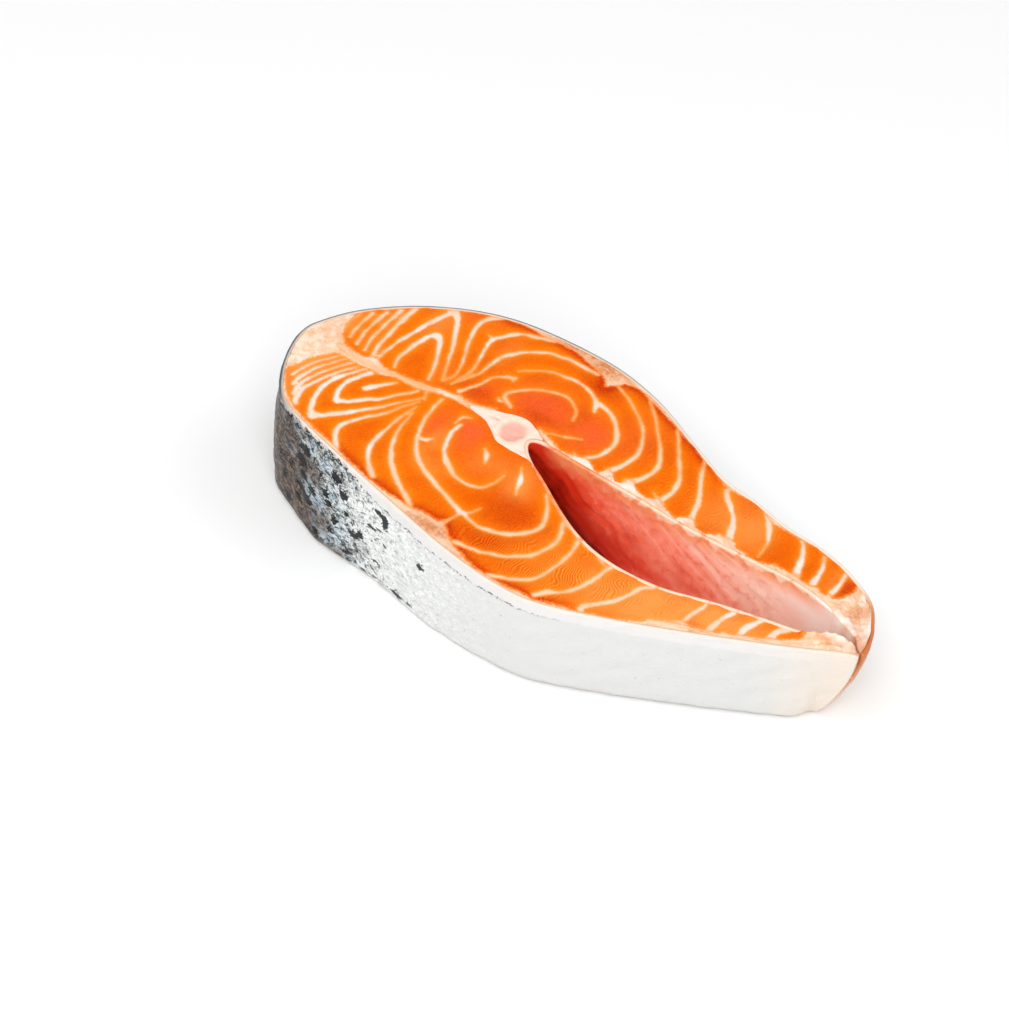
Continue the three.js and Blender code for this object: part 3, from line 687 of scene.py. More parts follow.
# The flesh is a closed band. A column runs straight from the skin's inner side to the inner
# edge on the upper face, down the cavity wall, back on the lower face and up the flank.
def makeFlesh(material):
    at = np.linspace(0, lengths(flankLine)[-1], flesh["columns"])
    outer = placesOn(flankLine, at)
    left = leftOf(outer)
    inner = innerEdge()
    inner = placesOn(inner, matchedLengths(flankLine, inner, at))
    inset = steak["skinThickness"] + steak["surfaceInset"] + steak["joint"]
    x, y = outer[:, :1], outer[:, 1:]
    upperRows, upperDrop = faceRows(outer - left * inset, inner)
    foot = outer + left * (flankShift(x, y, 0) - inset)
    lowerRows, lowerDrop = faceRows(foot, inner)
    walls = {}
    for name, levels in wallLevels.items():
        away = flankShift(x, y, np.array(levels)[None]) - inset
        walls[name] = outer[:, None] + left[:, None] * away[..., None]
    walls["in"] = np.repeat(inner[:, None], len(wallLevels["in"]), 1)
    flat = np.concatenate([
        walls["upperOut"], upperRows, walls["in"], lowerRows[:, ::-1], walls["lowerOut"],
    ], 1)
    px, py = flat[..., 0], flat[..., 1]
    places = flat.reshape(-1, 2).astype(np.float32)
    side, gap, half = (part.reshape(px.shape) for part in nearestLine(places, fatLinesAndHighlightStreaks()))
    fat = np.max([depthInside(places, zone) for zone in flesh["fatZones"]], 0).reshape(px.shape)
    relief = cutRelief(px, py, gap, half, fat)
    first = len(wallLevels["upperOut"])
    second = first + flesh["rows"] + len(wallLevels["in"])
    upper, lower = slice(first, first + flesh["rows"]), slice(second, second + flesh["rows"])
    z = np.empty(px.shape)
    upperZ = topHeight(px[:, upper]) + relief[:, upper] - upperDrop
    z[:, upper] = np.minimum(upperZ, steak["backThickness"] - 0.08)
    lowerZ = lowerDrop[:, ::-1] - flesh["lowerRelief"] * relief[:, lower]
    z[:, lower] = np.maximum(lowerZ, 0.01)
    edges = {"upperOut": (slice(0, first), first, lower.stop - 1),
             "in": (slice(upper.stop, second), upper.stop - 1, second),
             "lowerOut": (slice(lower.stop, None), first, lower.stop - 1)}
    for name, (part, top, foot) in edges.items():
        level = np.array(wallLevels[name])[None]
        z[:, part] = z[:, foot, None] * (1 - level) + z[:, top, None] * level
    ring = roundedEnds(np.concatenate([flat, z[..., None]], 2))
    across = np.hypot(px - x, py - y)
    uv = np.stack([np.broadcast_to(at[:, None], across.shape), across], -1)
    rim = np.exp(-((np.minimum(fat, 0) / flesh["rimWidth"]) ** 2)) * (1 - smoothStep(fat, 0, 0.5))
    rimmed = np.where(py < -6, smoothStep(px, -60, -42) * (1 - smoothStep(px, 14, 26)), 0)
    rimmed += np.where(py > 12, smoothStep(px, -50, -36) * (1 - smoothStep(px, 22, 34)), 0)
    seam = spots(px, py, flesh["seamSpots"])
    fields = {
        "lineSide": side, "lineGap": gap, "lineHalf": half, "fatDepth": fat - 0.4 * seam,
        "deep": spots(px, py, flesh["deepSpots"]) + flesh["rimShade"] * rim * rimmed,
        "amberAndHighlight": spots(px, py, flesh["amberAndHighlightSpots"]),
        "pink": spots(px, py, flesh["pinkSpots"]),
        "tan": spots(px, py, flesh["tanSpots"]),
        "white": spots(px, py, flesh["whiteSpots"]),
        "ripple": flesh["rippleBase"] + spots(px, py, flesh["rippleSpots"]),
        "pale": np.minimum(spots(px, py, flesh["paleSpots"]), 1),
        "tip": smoothStep(px, 66, 70) + 0.8 * smoothStep(-px, 65, 70),
        "seam": seam,
    }
    extra = (len(ring) - len(uv)) // 2
    uv = np.concatenate([uv[:1]] * extra + [uv] + [uv[-1:]] * extra)
    for name, field in fields.items():
        fields[name] = np.concatenate([field[:1]] * extra + [field] + [field[-1:]] * extra)
    return stripPiece("salmonFlesh", ring, uv, fields, material, "flesh")


# Raw salmon muscle, knife cut: wet and slightly see-through, each flake smooth and glossy with
# fine fibre ripples, and between the flakes soft-edged lines of fat, white where they are thick
# and peach where they thin out.
def muscleMaterial():
    material, tree = startMaterial("raw salmon muscle, knife cut")
    field = {
        name: addNode(tree, "Attribute", {"attribute_name": name}, output=2)
        for name in ("lineSide", "lineGap", "lineHalf", "fatDepth", "deep", "amberAndHighlight", "pink",
                     "tan", "white", "ripple", "pale", "tip", "seam")
    }
    place = addNode(tree, "TexCoord", output=3)
    inMm = addNode(tree, "Mapping", None, {"Vector": place, "Scale": (1000, 1000, 1000)})
    uv = addNode(tree, "UVMap", {"uv_map": "millimetres"})
    patterns = flesh["patterns"]
    # ripples that run from the skin to the cavity
    fibre = addNode(tree, "TexWave", {"bands_direction": "X"}, {
        "Vector": uv, "Scale": patterns["ripples"], "Distortion": 24, "Detail": 1,
        "Detail Scale": 0.4}, 1)
    fine = addNode(tree, "TexNoise", None, {
        "Vector": inMm, "Scale": patterns["mottling"], "Detail": 3})
    broad = addNode(tree, "TexNoise", None, {
        "Vector": inMm, "Scale": patterns["clouds"], "Detail": 2})
    wobble = addNode(tree, "MapRange", None, {"Value": fine, "From Min": 0.3, "From Max": 0.7,
                                              "To Min": -0.1, "To Max": 0.1})
    # close to a line its signed distance gives a clean crossing, further off the plain one
    flatSide = addNode(tree, "Math", {"operation": "ABSOLUTE"}, {0: field["lineSide"]})
    close = addNode(tree, "Math", {"operation": "LESS_THAN"}, {0: field["lineGap"], 1: 0.45})
    gap = addNode(tree, "Mix", None, {0: close, 2: field["lineGap"], 3: flatSide})
    fromEdge = addNode(tree, "Math", {"operation": "SUBTRACT"}, {0: gap, 1: field["lineHalf"]})
    fromEdge = addNode(tree, "Math", {"operation": "ADD"}, {0: fromEdge, 1: wobble})
    core = addNode(tree, "MapRange", smooth, {
        "Value": fromEdge, "From Min": 0.26, "From Max": -0.42})
    halo = addNode(tree, "MapRange", smooth, {
        "Value": fromEdge, "From Min": 0.75, "From Max": -0.1, "To Max": 0.8})
    glow = addNode(tree, "MapRange", smooth, {
        "Value": fromEdge, "From Min": 2.6, "From Max": 0.1, "To Max": 0.5})
    patchy = addNode(tree, "MapRange", None, {"Value": broad, "From Min": 0.3, "From Max": 0.6,
                                              "To Min": 0.7, "To Max": 1})
    core = addNode(tree, "Math", {"operation": "MULTIPLY"}, {0: core, 1: patchy})
    thick = addNode(tree, "MapRange", smooth, {
        "Value": field["lineHalf"], "From Min": 0.2, "From Max": 0.62})
    lineTone = addNode(tree, "Mix", inColour, {
        0: thick, 6: flesh["linePeach"], 7: flesh["lineCore"]}, 2)
    paleness = addNode(tree, "Math", {"operation": "MULTIPLY"}, {0: field["pale"], 1: thick})
    lineTone = addNode(tree, "Mix", inColour, {0: paleness, 6: lineTone, 7: flesh["paleLine"]}, 2)
    # muscle tones; painted light on the ripple crests and painted shade in the troughs, in patches
    inPatches = addNode(tree, "MapRange", smooth, {
        "Value": broad, "From Min": 0.36, "From Max": 0.56, "To Min": 0.25})
    rippled = addNode(tree, "Math", {"operation": "MULTIPLY"}, {0: inPatches, 1: field["ripple"]})
    paintedRippleShade = addNode(tree, "MapRange", None, {
        "Value": fibre, "From Min": 0.45, "From Max": 0.1, "To Max": 0.2})
    paintedRippleShade = addNode(tree, "Math", {"operation": "MULTIPLY"}, {0: paintedRippleShade, 1: rippled})
    paintedRippleLight = addNode(tree, "MapRange", None, {
        "Value": fibre, "From Min": 0.5, "From Max": 0.95, "To Max": 0.45})
    paintedRippleLight = addNode(tree, "Math", {"operation": "MULTIPLY", "use_clamp": True}, {
        0: paintedRippleLight, 1: rippled})
    grain = addNode(tree, "TexNoise", None, {
        "Vector": inMm, "Scale": patterns["grain"], "Detail": 2})
    speck = addNode(tree, "MapRange", None, {"Value": grain, "From Min": 0.5, "From Max": 0.75,
                                             "To Max": 0.35})
    darkSpeck = addNode(tree, "MapRange", None, {"Value": grain, "From Min": 0.46,
                                                 "From Max": 0.25, "To Max": 0.28})
    # darker muscle: random clouds, the listed deep spots, and the painted shade of the ripple
    # troughs
    deepToneAndRippleShade = addNode(tree, "MapRange", None, {"Value": broad, "From Min": 0.45, "From Max": 0.75,
                                             "To Max": 0.22})
    deepToneAndRippleShade = addNode(tree, "Math", {"operation": "ADD"}, {0: deepToneAndRippleShade, 1: field["deep"]})
    deepToneAndRippleShade = addNode(tree, "Math", {"operation": "ADD", "use_clamp": True}, {
        0: deepToneAndRippleShade, 1: paintedRippleShade})
    # fat zones with ragged edges, streaked along the skin and along the seam
    ragged = addNode(tree, "Math", {"operation": "MULTIPLY_ADD"}, {
        0: wobble, 1: 2.4, 2: field["fatDepth"]})
    fat = addNode(tree, "MapRange", smooth, {"Value": ragged, "From Min": -0.3, "From Max": 0.3})
    fatHalo = addNode(tree, "MapRange", smooth, {
        "Value": ragged, "From Min": -1, "From Max": 0.1, "To Max": 0.85})
    alongSkin = addNode(tree, "Mapping", None, {"Vector": uv, "Scale": patterns["skinStreaks"]})
    alongSeam = addNode(tree, "Mapping", None, {"Vector": inMm, "Scale": patterns["seamStreaks"]})
    streakPlace = addNode(tree, "Mix", {"data_type": "VECTOR"}, {
        0: field["seam"], 4: alongSkin, 5: alongSeam}, 1)
    streak = addNode(tree, "TexNoise", None, {"Vector": streakPlace, "Scale": 1, "Detail": 4,
                                              "Roughness": 0.65, "Distortion": 0.8})
    streaks = addNode(tree, "MapRange", smooth, {
        "Value": streak, "From Min": 0.45, "From Max": 0.66, "To Max": 0.8})
    calm = addNode(tree, "MapRange", None, {"Value": field["tip"], "To Min": 1, "To Max": 0.3})
    streaks = addNode(tree, "Math", {"operation": "MULTIPLY"}, {0: streaks, 1: calm})
    fatTone = addNode(tree, "Mix", inColour, {
        0: field["seam"], 6: flesh["fat"], 7: flesh["seamFat"]}, 2)
    # lumps in the fat of the back and the flap tips
    lump = addNode(tree, "TexNoise", None, {
        "Vector": inMm, "Scale": patterns["lumps"], "Detail": 2})
    whiteLump = addNode(tree, "MapRange", smooth, {
        "Value": lump, "From Min": 0.5, "From Max": 0.6, "To Max": 0.45})
    whiteLump = addNode(tree, "Math", {"operation": "MULTIPLY"}, {0: whiteLump, 1: field["tip"]})
    pinkLump = addNode(tree, "MapRange", smooth, {
        "Value": lump, "From Min": 0.47, "From Max": 0.36, "To Max": 0.8})
    pinkLump = addNode(tree, "Math", {"operation": "MULTIPLY"}, {0: pinkLump, 1: field["tip"]})
    # thin tan threads where the noise passes its middle
    thread = addNode(tree, "Math", {"operation": "SUBTRACT"}, {0: fine, 1: 0.5})
    thread = addNode(tree, "Math", {"operation": "ABSOLUTE"}, {0: thread})
    thread = addNode(tree, "MapRange", None, {"Value": thread, "From Min": 0.02, "From Max": 0,
                                              "To Max": 0.3})
    thread = addNode(tree, "Math", {"operation": "MULTIPLY"}, {0: thread, 1: calm})
    crumb = addNode(tree, "Math", {"operation": "MULTIPLY_ADD"}, {0: fine, 1: 2.4, 2: -0.3})
    brown = addNode(tree, "Math", {"operation": "MULTIPLY", "use_clamp": True}, {
        0: crumb, 1: field["tan"]})
    pale = addNode(tree, "Math", {"operation": "MULTIPLY", "use_clamp": True}, {
        0: field["white"], 1: 0.9})
    inFat = (
        (streaks, flesh["fatStreak"]), (whiteLump, flesh["whiteFat"]),
        (pinkLump, flesh["fatLump"]), (thread, flesh["tan"]), (brown, flesh["tan"]),
        (pale, flesh["whiteFat"]),
    )
    for amount, tone in inFat:
        fatTone = addNode(tree, "Mix", inColour, {0: amount, 6: fatTone, 7: tone}, 2)
    # all the layers, lowest first
    colour = addNode(tree, "Mix", inColour, {
        0: glow, 6: flesh["muscle"], 7: flesh["goldMuscle"]}, 2)
    layers = (
        # amber tone, with the painted highlights of the near whorl
        (field["amberAndHighlight"], flesh["amberMuscleAndHighlight"]), (field["pink"], flesh["pinkMuscle"]),
        (deepToneAndRippleShade, flesh["deepMuscle"]), (speck, flesh["goldMuscle"]),
        (darkSpeck, flesh["deepMuscle"]),
        (paintedRippleLight, flesh["paintedRippleLight"]),
        (halo, flesh["lineEdge"]), (core, lineTone), (fatHalo, flesh["lineEdge"]), (fat, fatTone),
    )
    for amount, tone in layers:
        colour = addNode(tree, "Mix", inColour, {0: amount, 6: colour, 7: tone}, 2)
    ripples = addNode(tree, "Math", {"operation": "MULTIPLY"}, {0: fibre, 1: rippled})
    bump = addNode(tree, "Bump", None, {"Height": ripples, "Strength": 0.3, "Distance": 0.0001})
    bump = addNode(tree, "Bump", None, {"Height": fine, "Strength": 0.35, "Distance": 0.0002,
                                        "Normal": bump})
    surface = addNode(tree, "BsdfPrincipled", {"subsurface_method": "RANDOM_WALK"}, {
        "Base Color": colour, "Roughness": flesh["roughness"], "IOR": 1.38, "Normal": bump,
        "Specular IOR Level": 0.06, "Subsurface Weight": 0.1,
        "Subsurface Radius": (1.0, 0.35, 0.15), "Subsurface Scale": 0.0015,
        "Coat Weight": 0.03, "Coat Roughness": 0.12})
    addNode(tree, "OutputMaterial", None, {"Surface": surface})
    return material


skin = {
    "columns": 760,
    "rows": 50,
    "lift": 0.45,               # lower edge above the board
    "scalePitch": 3.2,          # mm between scales
    "scaleRelief": 0.1,
    "waveRelief": (0.12, 7, 21),    # height, wave length and seed of its soft waves
    "lipRadius": 0.5,           # rounding of the upper edge, and how far that draws it in
    "lipInset": 0.35,
    "spotGrowth": (1.2, 1.3),   # the dark spots are this much longer and higher than listed
    "patterns": {"flecks": 0.8, "grain": 2.2, "clouds": 0.16},  # cells of each per mm
    "fleckTurn": 0.7,           # radians
    "fleckStretch": (0.7, 1.15, 1),
    "brown": "#33251F",
    "brownLight": "#86705F",
    "slate": "#646A6C",
    "slateLight": "#D4D8D6",
    "blue": "#8AA2B4",
    "silver": "#D8DAD9",
    "silverLight": "#F2F2F0",
    "belly": "#D7D7D5",
    "cream": "#E6DACD",
    "tip": "#E0A87C",
    "knob": "#C77546",
    "blot": "#0C0E11",
    "greyFleck": "#9FA2A2",
    "rimWhite": "#E0DDDB",
    "cutEdge": "#F3DDC9",
    "outerLine": "#48535B",
    "roughness": 0.34,
    # where each ground colour starts and is complete, in mm along the fish; the mottle moves
    # the blue about 22 mm further on
    "grounds": {"blue": (-90, -79), "silver": (-50, -38), "belly": (-26, 14), "cream": (58, 79)},
    # dark spots of the back and the upper flank: x, mm below the edge, two radii, amount
    "darkSpots": [
        (-57, 5.6, 1.8, 1.0, 1.0), (-57.4, 9.2, 1.9, 1.2, 1.0), (-56.6, 12.9, 1.3, 1.0, 0.9),
        (-57.2, 16.6, 1.6, 0.9, 1.0), (-54.4, 18.2, 1.8, 1.0, 1.0), (-58, 20.6, 1.3, 1.0, 0.9),
        (-62.8, 24.8, 2.0, 1.2, 0.8), (-63.4, 28, 1.8, 1.2, 0.9), (-54, 27, 1.4, 1.0, 0.9),
        (-51, 25, 1.3, 1.2, 0.8), (-45.6, 5.4, 1.6, 1.1, 1.0), (-42.6, 8.2, 1.2, 1.0, 1.0),
        (-48.6, 11.4, 1.2, 0.9, 0.9), (-47.2, 13.6, 1.1, 0.7, 0.9), (-53, 14.2, 1.3, 0.8, 0.9),
        (-44.8, 17, 1.1, 1.1, 0.8), (-46, 20.8, 0.9, 0.8, 0.8), (-39, 17, 1.4, 0.9, 0.9),
        (-36.4, 15.6, 1.2, 0.8, 0.8), (-40.6, 24, 1.3, 0.8, 0.8), (-35, 26, 1.3, 0.6, 0.9),
        (-31.6, 5.2, 1.6, 0.5, 1.0), (-29, 6.4, 0.9, 1.3, 1.0), (-33.4, 10.4, 1.5, 0.5, 0.8),
        (-30.6, 9.2, 1.0, 0.4, 0.7), (-31.4, 20, 1.2, 0.4, 0.7), (-16.8, 9.8, 1.3, 0.7, 0.8),
        (-24, 24.4, 1.8, 0.6, 0.9), (-19.6, 24, 1.0, 0.6, 0.7), (-28.6, 12.8, 0.6, 0.4, 0.6),
        (-41, 12.6, 1.0, 0.7, 0.7), (-50.6, 8, 1.0, 0.7, 0.7), (-66, 14, 1.4, 1.2, 0.7),
        (-64.6, 18.6, 1.2, 1.0, 0.7), (-61.6, 13, 1.0, 1.0, 0.7), (-71, 7, 1.6, 1.6, 0.8),
        (-74, 12, 1.8, 1.4, 0.8), (-72, 18, 1.6, 1.4, 0.8), (-75.6, 22, 1.6, 1.4, 0.8),
    ],
    "knobSpots": [(79.5, 2, 4, 6, 1.1)],    # brown end of the far flap tip
}


# The skin is a thin closed strip. Its ring goes up the outer side with the flank's lean and
# bulge, over the rounded upper edge, and down the inner side. Rows of overlapping scales are
# shifted by half a scale, and each scale rises to its free edge.
def makeSkin(material):
    at = np.linspace(0, lengths(flankLine)[-1], skin["columns"])
    line = placesOn(flankLine, at)
    left = leftOf(line)
    x, y = line[:, :1], line[:, 1:]
    rows = skin["rows"]
    level = np.concatenate([[0, 0.01, 0.03], np.linspace(0.07, 0.985, rows - 5), [0.995, 1]])[None]
    out = flankShift(x, y, level) - steak["surfaceInset"]
    pitch = skin["scalePitch"]
    up = level * topHeight(x)
    row = np.floor(up / (pitch * 0.5))
    inScale = ((at[:, None] + row % 2 * pitch / 2) / pitch) % 1 - 0.5
    rise = up / (pitch * 0.5) - row
    scaly = 1 - smoothStep(x, -66, -20)
    relief = skin["scaleRelief"] * (0.35 + 0.65 * scaly) * (np.cos(inScale * math.pi) * rise - 0.7)
    # painted shadow just past each scale's free edge, where the next scale comes out from under it
    scaleEdgeShadow = (1 - smoothStep(rise, 0.05, 0.45)) * np.cos(inScale * math.pi) * scaly
    height, size, seed = skin["waveRelief"]
    relief += height * (waves(at[:, None], up, size, seed) - 1)
    edge = np.clip((1 - level) * topHeight(x) / skin["lipRadius"], 0, 1)
    outSide = out + np.minimum(relief, 0) * smoothStep(edge, 0, 1)
    outSide = outSide - skin["lipInset"] * quarterRound(edge)
    z = skin["lift"] + (topHeight(x) - 0.03 - skin["lift"]) * level
    sides = []
    for away, flip in ((outSide, 1), (out - steak["skinThickness"], -1)):
        place = line[:, None] + left[:, None] * away[..., None]
        high = np.minimum(z, topHeight(place[..., 0]) - 0.02)
        sides.append(np.concatenate([place, high[..., None]], 2)[:, ::flip])
    ring = np.concatenate(sides, 1)
    drop = topHeight(ring[..., 0]) - ring[..., 2]
    uv = np.stack([np.broadcast_to(at[:, None], drop.shape), drop], -1)
    inner = np.concatenate([np.zeros(rows), np.ones(rows)])[None]
    along, across = ring[..., 0], ring[..., 1]
    blots = np.array(skin["darkSpots"])
    blots[:, 2:4] *= skin["spotGrowth"]
    dark = (1 - smoothStep(along, -30, 34)) * smoothStep(across, -24, -16)
    tipSide = smoothStep(across, -11.6, -10.6)
    fields = {
        "alongFish": along,
        "cut": np.maximum(inner, 1 - np.clip(drop / 0.25, 0, 1)),
        "outline": dark * (1 - inner) * (1 - smoothStep(drop, 0.3, 0.8)),
        "spot": spots(along, drop, blots) * (1 - inner),
        "scaleEdgeShadow": np.concatenate([scaleEdgeShadow, np.zeros_like(scaleEdgeShadow)], 1),
        "tip": smoothStep(along, 70, 77) * tipSide * (1 - 0.7 * smoothStep(drop, 1, 18)),
        "knob": spots(along, drop, skin["knobSpots"]) * tipSide,
    }
    return stripPiece("salmonSkin", ring, uv, fields, material, "skin")


# Wet salmon skin: tight scales with a silver sheen under clear slime, brown and flecked at the
# back, blue grey with black spots on the upper flank, plain white at the belly.
def skinMaterial():
    material, tree = startMaterial("wet scaly salmon skin")
    field = {
        name: addNode(tree, "Attribute", {"attribute_name": name}, output=2)
        for name in ("alongFish", "cut", "outline", "spot", "scaleEdgeShadow", "tip", "knob")
    }
    along = field["alongFish"]
    uv = addNode(tree, "UVMap", {"uv_map": "millimetres"})
    patterns = skin["patterns"]
    below = addNode(tree, "SeparateXYZ", None, {"Vector": uv}, output=1)
    slanted = addNode(tree, "Mapping", None, {
        "Vector": uv, "Rotation": (0, 0, skin["fleckTurn"]), "Scale": skin["fleckStretch"]})
    patch = addNode(tree, "TexNoise", flatNoise, {
        "Vector": slanted, "Scale": patterns["flecks"], "Detail": 3, "Roughness": 0.6,
        "Distortion": 0.5})
    grain = addNode(tree, "TexNoise", flatNoise, {
        "Vector": slanted, "Scale": patterns["grain"], "Detail": 2, "Roughness": 0.6,
        "Distortion": 0.8})
    cloud = addNode(tree, "TexNoise", flatNoise, {
        "Vector": uv, "Scale": patterns["clouds"], "Detail": 3})
    mottle = addNode(tree, "Math", {"operation": "ADD"}, {0: patch, 1: grain})
    blotch = addNode(tree, "Math", {"operation": "MULTIPLY_ADD"}, {0: patch, 1: 1.6, 2: grain})
    # The blue and the silver start further on lower down, and the clouds sway them. The brown
    # before them also reaches further where the mottle is high.
    sway = addNode(tree, "Math", {"operation": "MULTIPLY_ADD"}, {0: cloud, 1: 24, 2: -12})
    swayed = addNode(tree, "Math", {"operation": "ADD"}, {0: along, 1: sway})
    slope = addNode(tree, "Math", {"operation": "MULTIPLY_ADD"}, {0: below, 1: -0.35, 2: swayed})
    browner = addNode(tree, "Math", {"operation": "MULTIPLY_ADD"}, {0: below, 1: -0.18, 2: slope})
    browner = addNode(tree, "Math", {"operation": "MULTIPLY_ADD"}, {0: mottle, 1: -22, 2: browner})
    toBlue, toSilver, toBelly, toCream = (
        addNode(tree, "MapRange", smooth, {"Value": value, "From Min": start, "From Max": end})
        for value, (start, end) in zip((browner, slope, along, along), skin["grounds"].values())
    )
    # light flecks lie where the mottle is high, dark ones where it is low
    light = addNode(tree, "MapRange", smooth, {"Value": mottle, "From Min": 1.02, "From Max": 1.12})
    brown = addNode(tree, "Mix", inColour, {0: light, 6: skin["brown"], 7: skin["brownLight"]}, 2)
    blueness = addNode(tree, "MapRange", smooth, {
        "Value": cloud, "From Min": 0.46, "From Max": 0.6})
    blue = addNode(tree, "Mix", inColour, {0: blueness, 6: skin["slate"], 7: skin["blue"]}, 2)
    blue = addNode(tree, "Mix", inColour, {0: light, 6: blue, 7: skin["slateLight"]}, 2)
    silver = addNode(tree, "Mix", inColour, {
        0: light, 6: skin["silver"], 7: skin["silverLight"]}, 2)
    limit = addNode(tree, "MapRange", None, {
        "Value": slope, "From Min": -70, "From Max": -30, "To Min": 1.26, "To Max": 1.09})
    limit = addNode(tree, "Math", {"operation": "SUBTRACT"}, {0: limit, 1: blotch})
    black = addNode(tree, "MapRange", smooth, {
        "Value": limit, "From Min": -0.01, "From Max": 0.06, "To Max": 0.9})
    blackEnd = addNode(tree, "MapRange", smooth, {"Value": slope, "From Min": -26, "From Max": -44})
    black = addNode(tree, "Math", {"operation": "MULTIPLY"}, {0: black, 1: blackEnd})
    greyLimit = addNode(tree, "MapRange", None, {
        "Value": along, "From Min": -44, "From Max": 16, "To Min": 0.93, "To Max": 0.6})
    greyLimit = addNode(tree, "Math", {"operation": "SUBTRACT"}, {0: greyLimit, 1: mottle})
    grey = addNode(tree, "MapRange", smooth, {
        "Value": greyLimit, "From Min": -0.02, "From Max": 0.07, "To Max": 0.75})
    # painted shadow just past each scale's free edge, stronger where the flecks are high
    paintedScaleShadow = addNode(tree, "Math", {"operation": "MULTIPLY"}, {0: field["scaleEdgeShadow"], 1: patch})
    # listed black spots with ragged edges
    ragged = addNode(tree, "Math", {"operation": "MULTIPLY_ADD"}, {
        0: mottle, 1: -0.9, 2: field["spot"]})
    spotted = addNode(tree, "MapRange", smooth, {
        "Value": ragged, "From Min": -0.58, "From Max": -0.46, "To Max": 0.96})
    # pale strip below the upper edge and a broken dark line under it
    width = addNode(tree, "MapRange", smooth, {
        "Value": along, "From Min": -46, "From Max": -30, "To Min": 0.8, "To Max": 2.9})
    width = addNode(tree, "Math", {"operation": "MULTIPLY_ADD"}, {0: patch, 1: 1.6, 2: width})
    width = addNode(tree, "Math", {"operation": "ADD"}, {0: width, 1: -0.7})
    fromStrip = addNode(tree, "Math", {"operation": "SUBTRACT"}, {0: below, 1: width})
    strip = addNode(tree, "MapRange", smooth, {
        "Value": fromStrip, "From Min": 0.1, "From Max": -0.5, "To Max": 0.92})
    lineWidth = addNode(tree, "MapRange", None, {
        "Value": along, "From Min": -46, "From Max": -38, "To Min": 1.9, "To Max": 0.34})
    line = addNode(tree, "Math", {"operation": "ABSOLUTE"}, {0: fromStrip})
    line = addNode(tree, "MapRange", smooth, {
        "Value": line, "From Min": lineWidth, "From Max": 0.04})
    broken = addNode(tree, "MapRange", None, {"Value": mottle, "From Min": 0.88,
                                              "From Max": 1.08, "To Min": 0.95, "To Max": 0.1})
    lineEnd = addNode(tree, "MapRange", smooth, {"Value": along, "From Min": 24, "From Max": 6})
    line = addNode(tree, "Math", {"operation": "MULTIPLY"}, {0: line, 1: broken})
    line = addNode(tree, "Math", {"operation": "MULTIPLY"}, {0: line, 1: lineEnd})
    layers = (
        (toBlue, blue), (paintedScaleShadow, skin["blot"]), (toSilver, silver),
        (toBelly, skin["belly"]), (grey, skin["greyFleck"]),
        (black, skin["blot"]), (spotted, skin["blot"]), (strip, skin["rimWhite"]),
        (toCream, skin["cream"]), (line, skin["blot"]), (field["cut"], skin["cutEdge"]),
        (field["outline"], skin["outerLine"]), (field["tip"], skin["tip"]),
        (field["knob"], skin["knob"]),
    )
    colour = brown
    for amount, tone in layers:
        colour = addNode(tree, "Mix", inColour, {0: amount, 6: colour, 7: tone}, 2)
    bump = addNode(tree, "Bump", None, {"Height": mottle, "Strength": 0.5, "Distance": 0.0002})
    surface = addNode(tree, "BsdfPrincipled", None, {
        "Base Color": colour, "Roughness": skin["roughness"], "IOR": 1.42, "Normal": bump,
        "Specular IOR Level": 0.16, "Coat Weight": 0.05, "Coat Roughness": 0.2})
    addNode(tree, "OutputMaterial", None, {"Surface": surface})
    return material


lining = {
    "columns": 380,
    "rows": 50,
    "lift": 0.45,
    "slope": 1.48,              # how far a fold runs along the fish for each mm it goes down
    "fold": 0.2,                # height of the slanted folds
    "foldPitch": 7.5,
    "edgeRadius": 0.12,
    "endInset": (0.06, 0.14),   # how far its front and its back lie in the flesh where it ends
    # strength, wave length and seed of the waves that bend the folds and weaken them
    "foldBend": (1.6, 12, 31),
    "foldFade": (0.45, 11, 33),
    # cells of each pattern per mm
    "patterns": {"blotches": 0.13, "mottling": 0.42, "grain": 0.8, "rim": 0.32,
                 "broadFolds": (0.2, 0.05, 1), "fineFolds": (0.75, 0.08, 1)},
    # depth in the belly, in mm, at which each tone starts and is complete
    "depths": {"blood": (-8, 4), "red": (2, 12), "rose": (11, 26), "pale": (32, 56),
               "pearl": (56, 76)},
    "apex": "#8C0A05",
    "blood": "#DE3A1E",
    "red": "#F86A48",
    "rose": "#FF9A7C",
    "pale": "#FFD6C2",
    "pearl": "#FFF0E8",
    "rim": "#FFD8BC",
    "apexRim": "#F79A62",
    "tendon": "#FFE2D6",
    "roughness": 0.4,
    # white tendons: places along the fish and below the edge, and widths
    "tendons": [
        ([(24.6, 3.6), (31, 8.4), (38, 13), (43, 16.6)], (0.5, 0.7, 0.9)),
        ([(35, 1.4), (39.6, 3.8), (46, 6.4)], (0.4, 0.6, 0.3)),
        ([(28, 2), (36, 7), (44, 11)], (0.2, 0.3, 0.2)),
        ([(40, 1.4), (46, 3.2), (53, 3.6)], (0.2, 0.4, 0.2)),
        ([(44, 4.4), (48.4, 6), (52, 5)], (0.2, 0.4, 0.2)),
        ([(14, 4), (20, 7.6), (27, 12)], (0.1, 0.25, 0.1)),
    ],
    # dark folds: place along, mm below the edge, two radii, amount
    "darkFolds": [
        (17, 12, 3, 2.4, 0.5), (31, 13.5, 2.4, 2, 0.5), (34, 17, 4, 1.6, 0.5), (2, 12, 4, 6, 0.4),
        (10, 18, 8, 3, 0.5), (24, 20, 8, 2.4, 0.4), (14, 6, 2, 1.6, 0.25), (60, 14, 4, 4, 0.2),
    ],
}


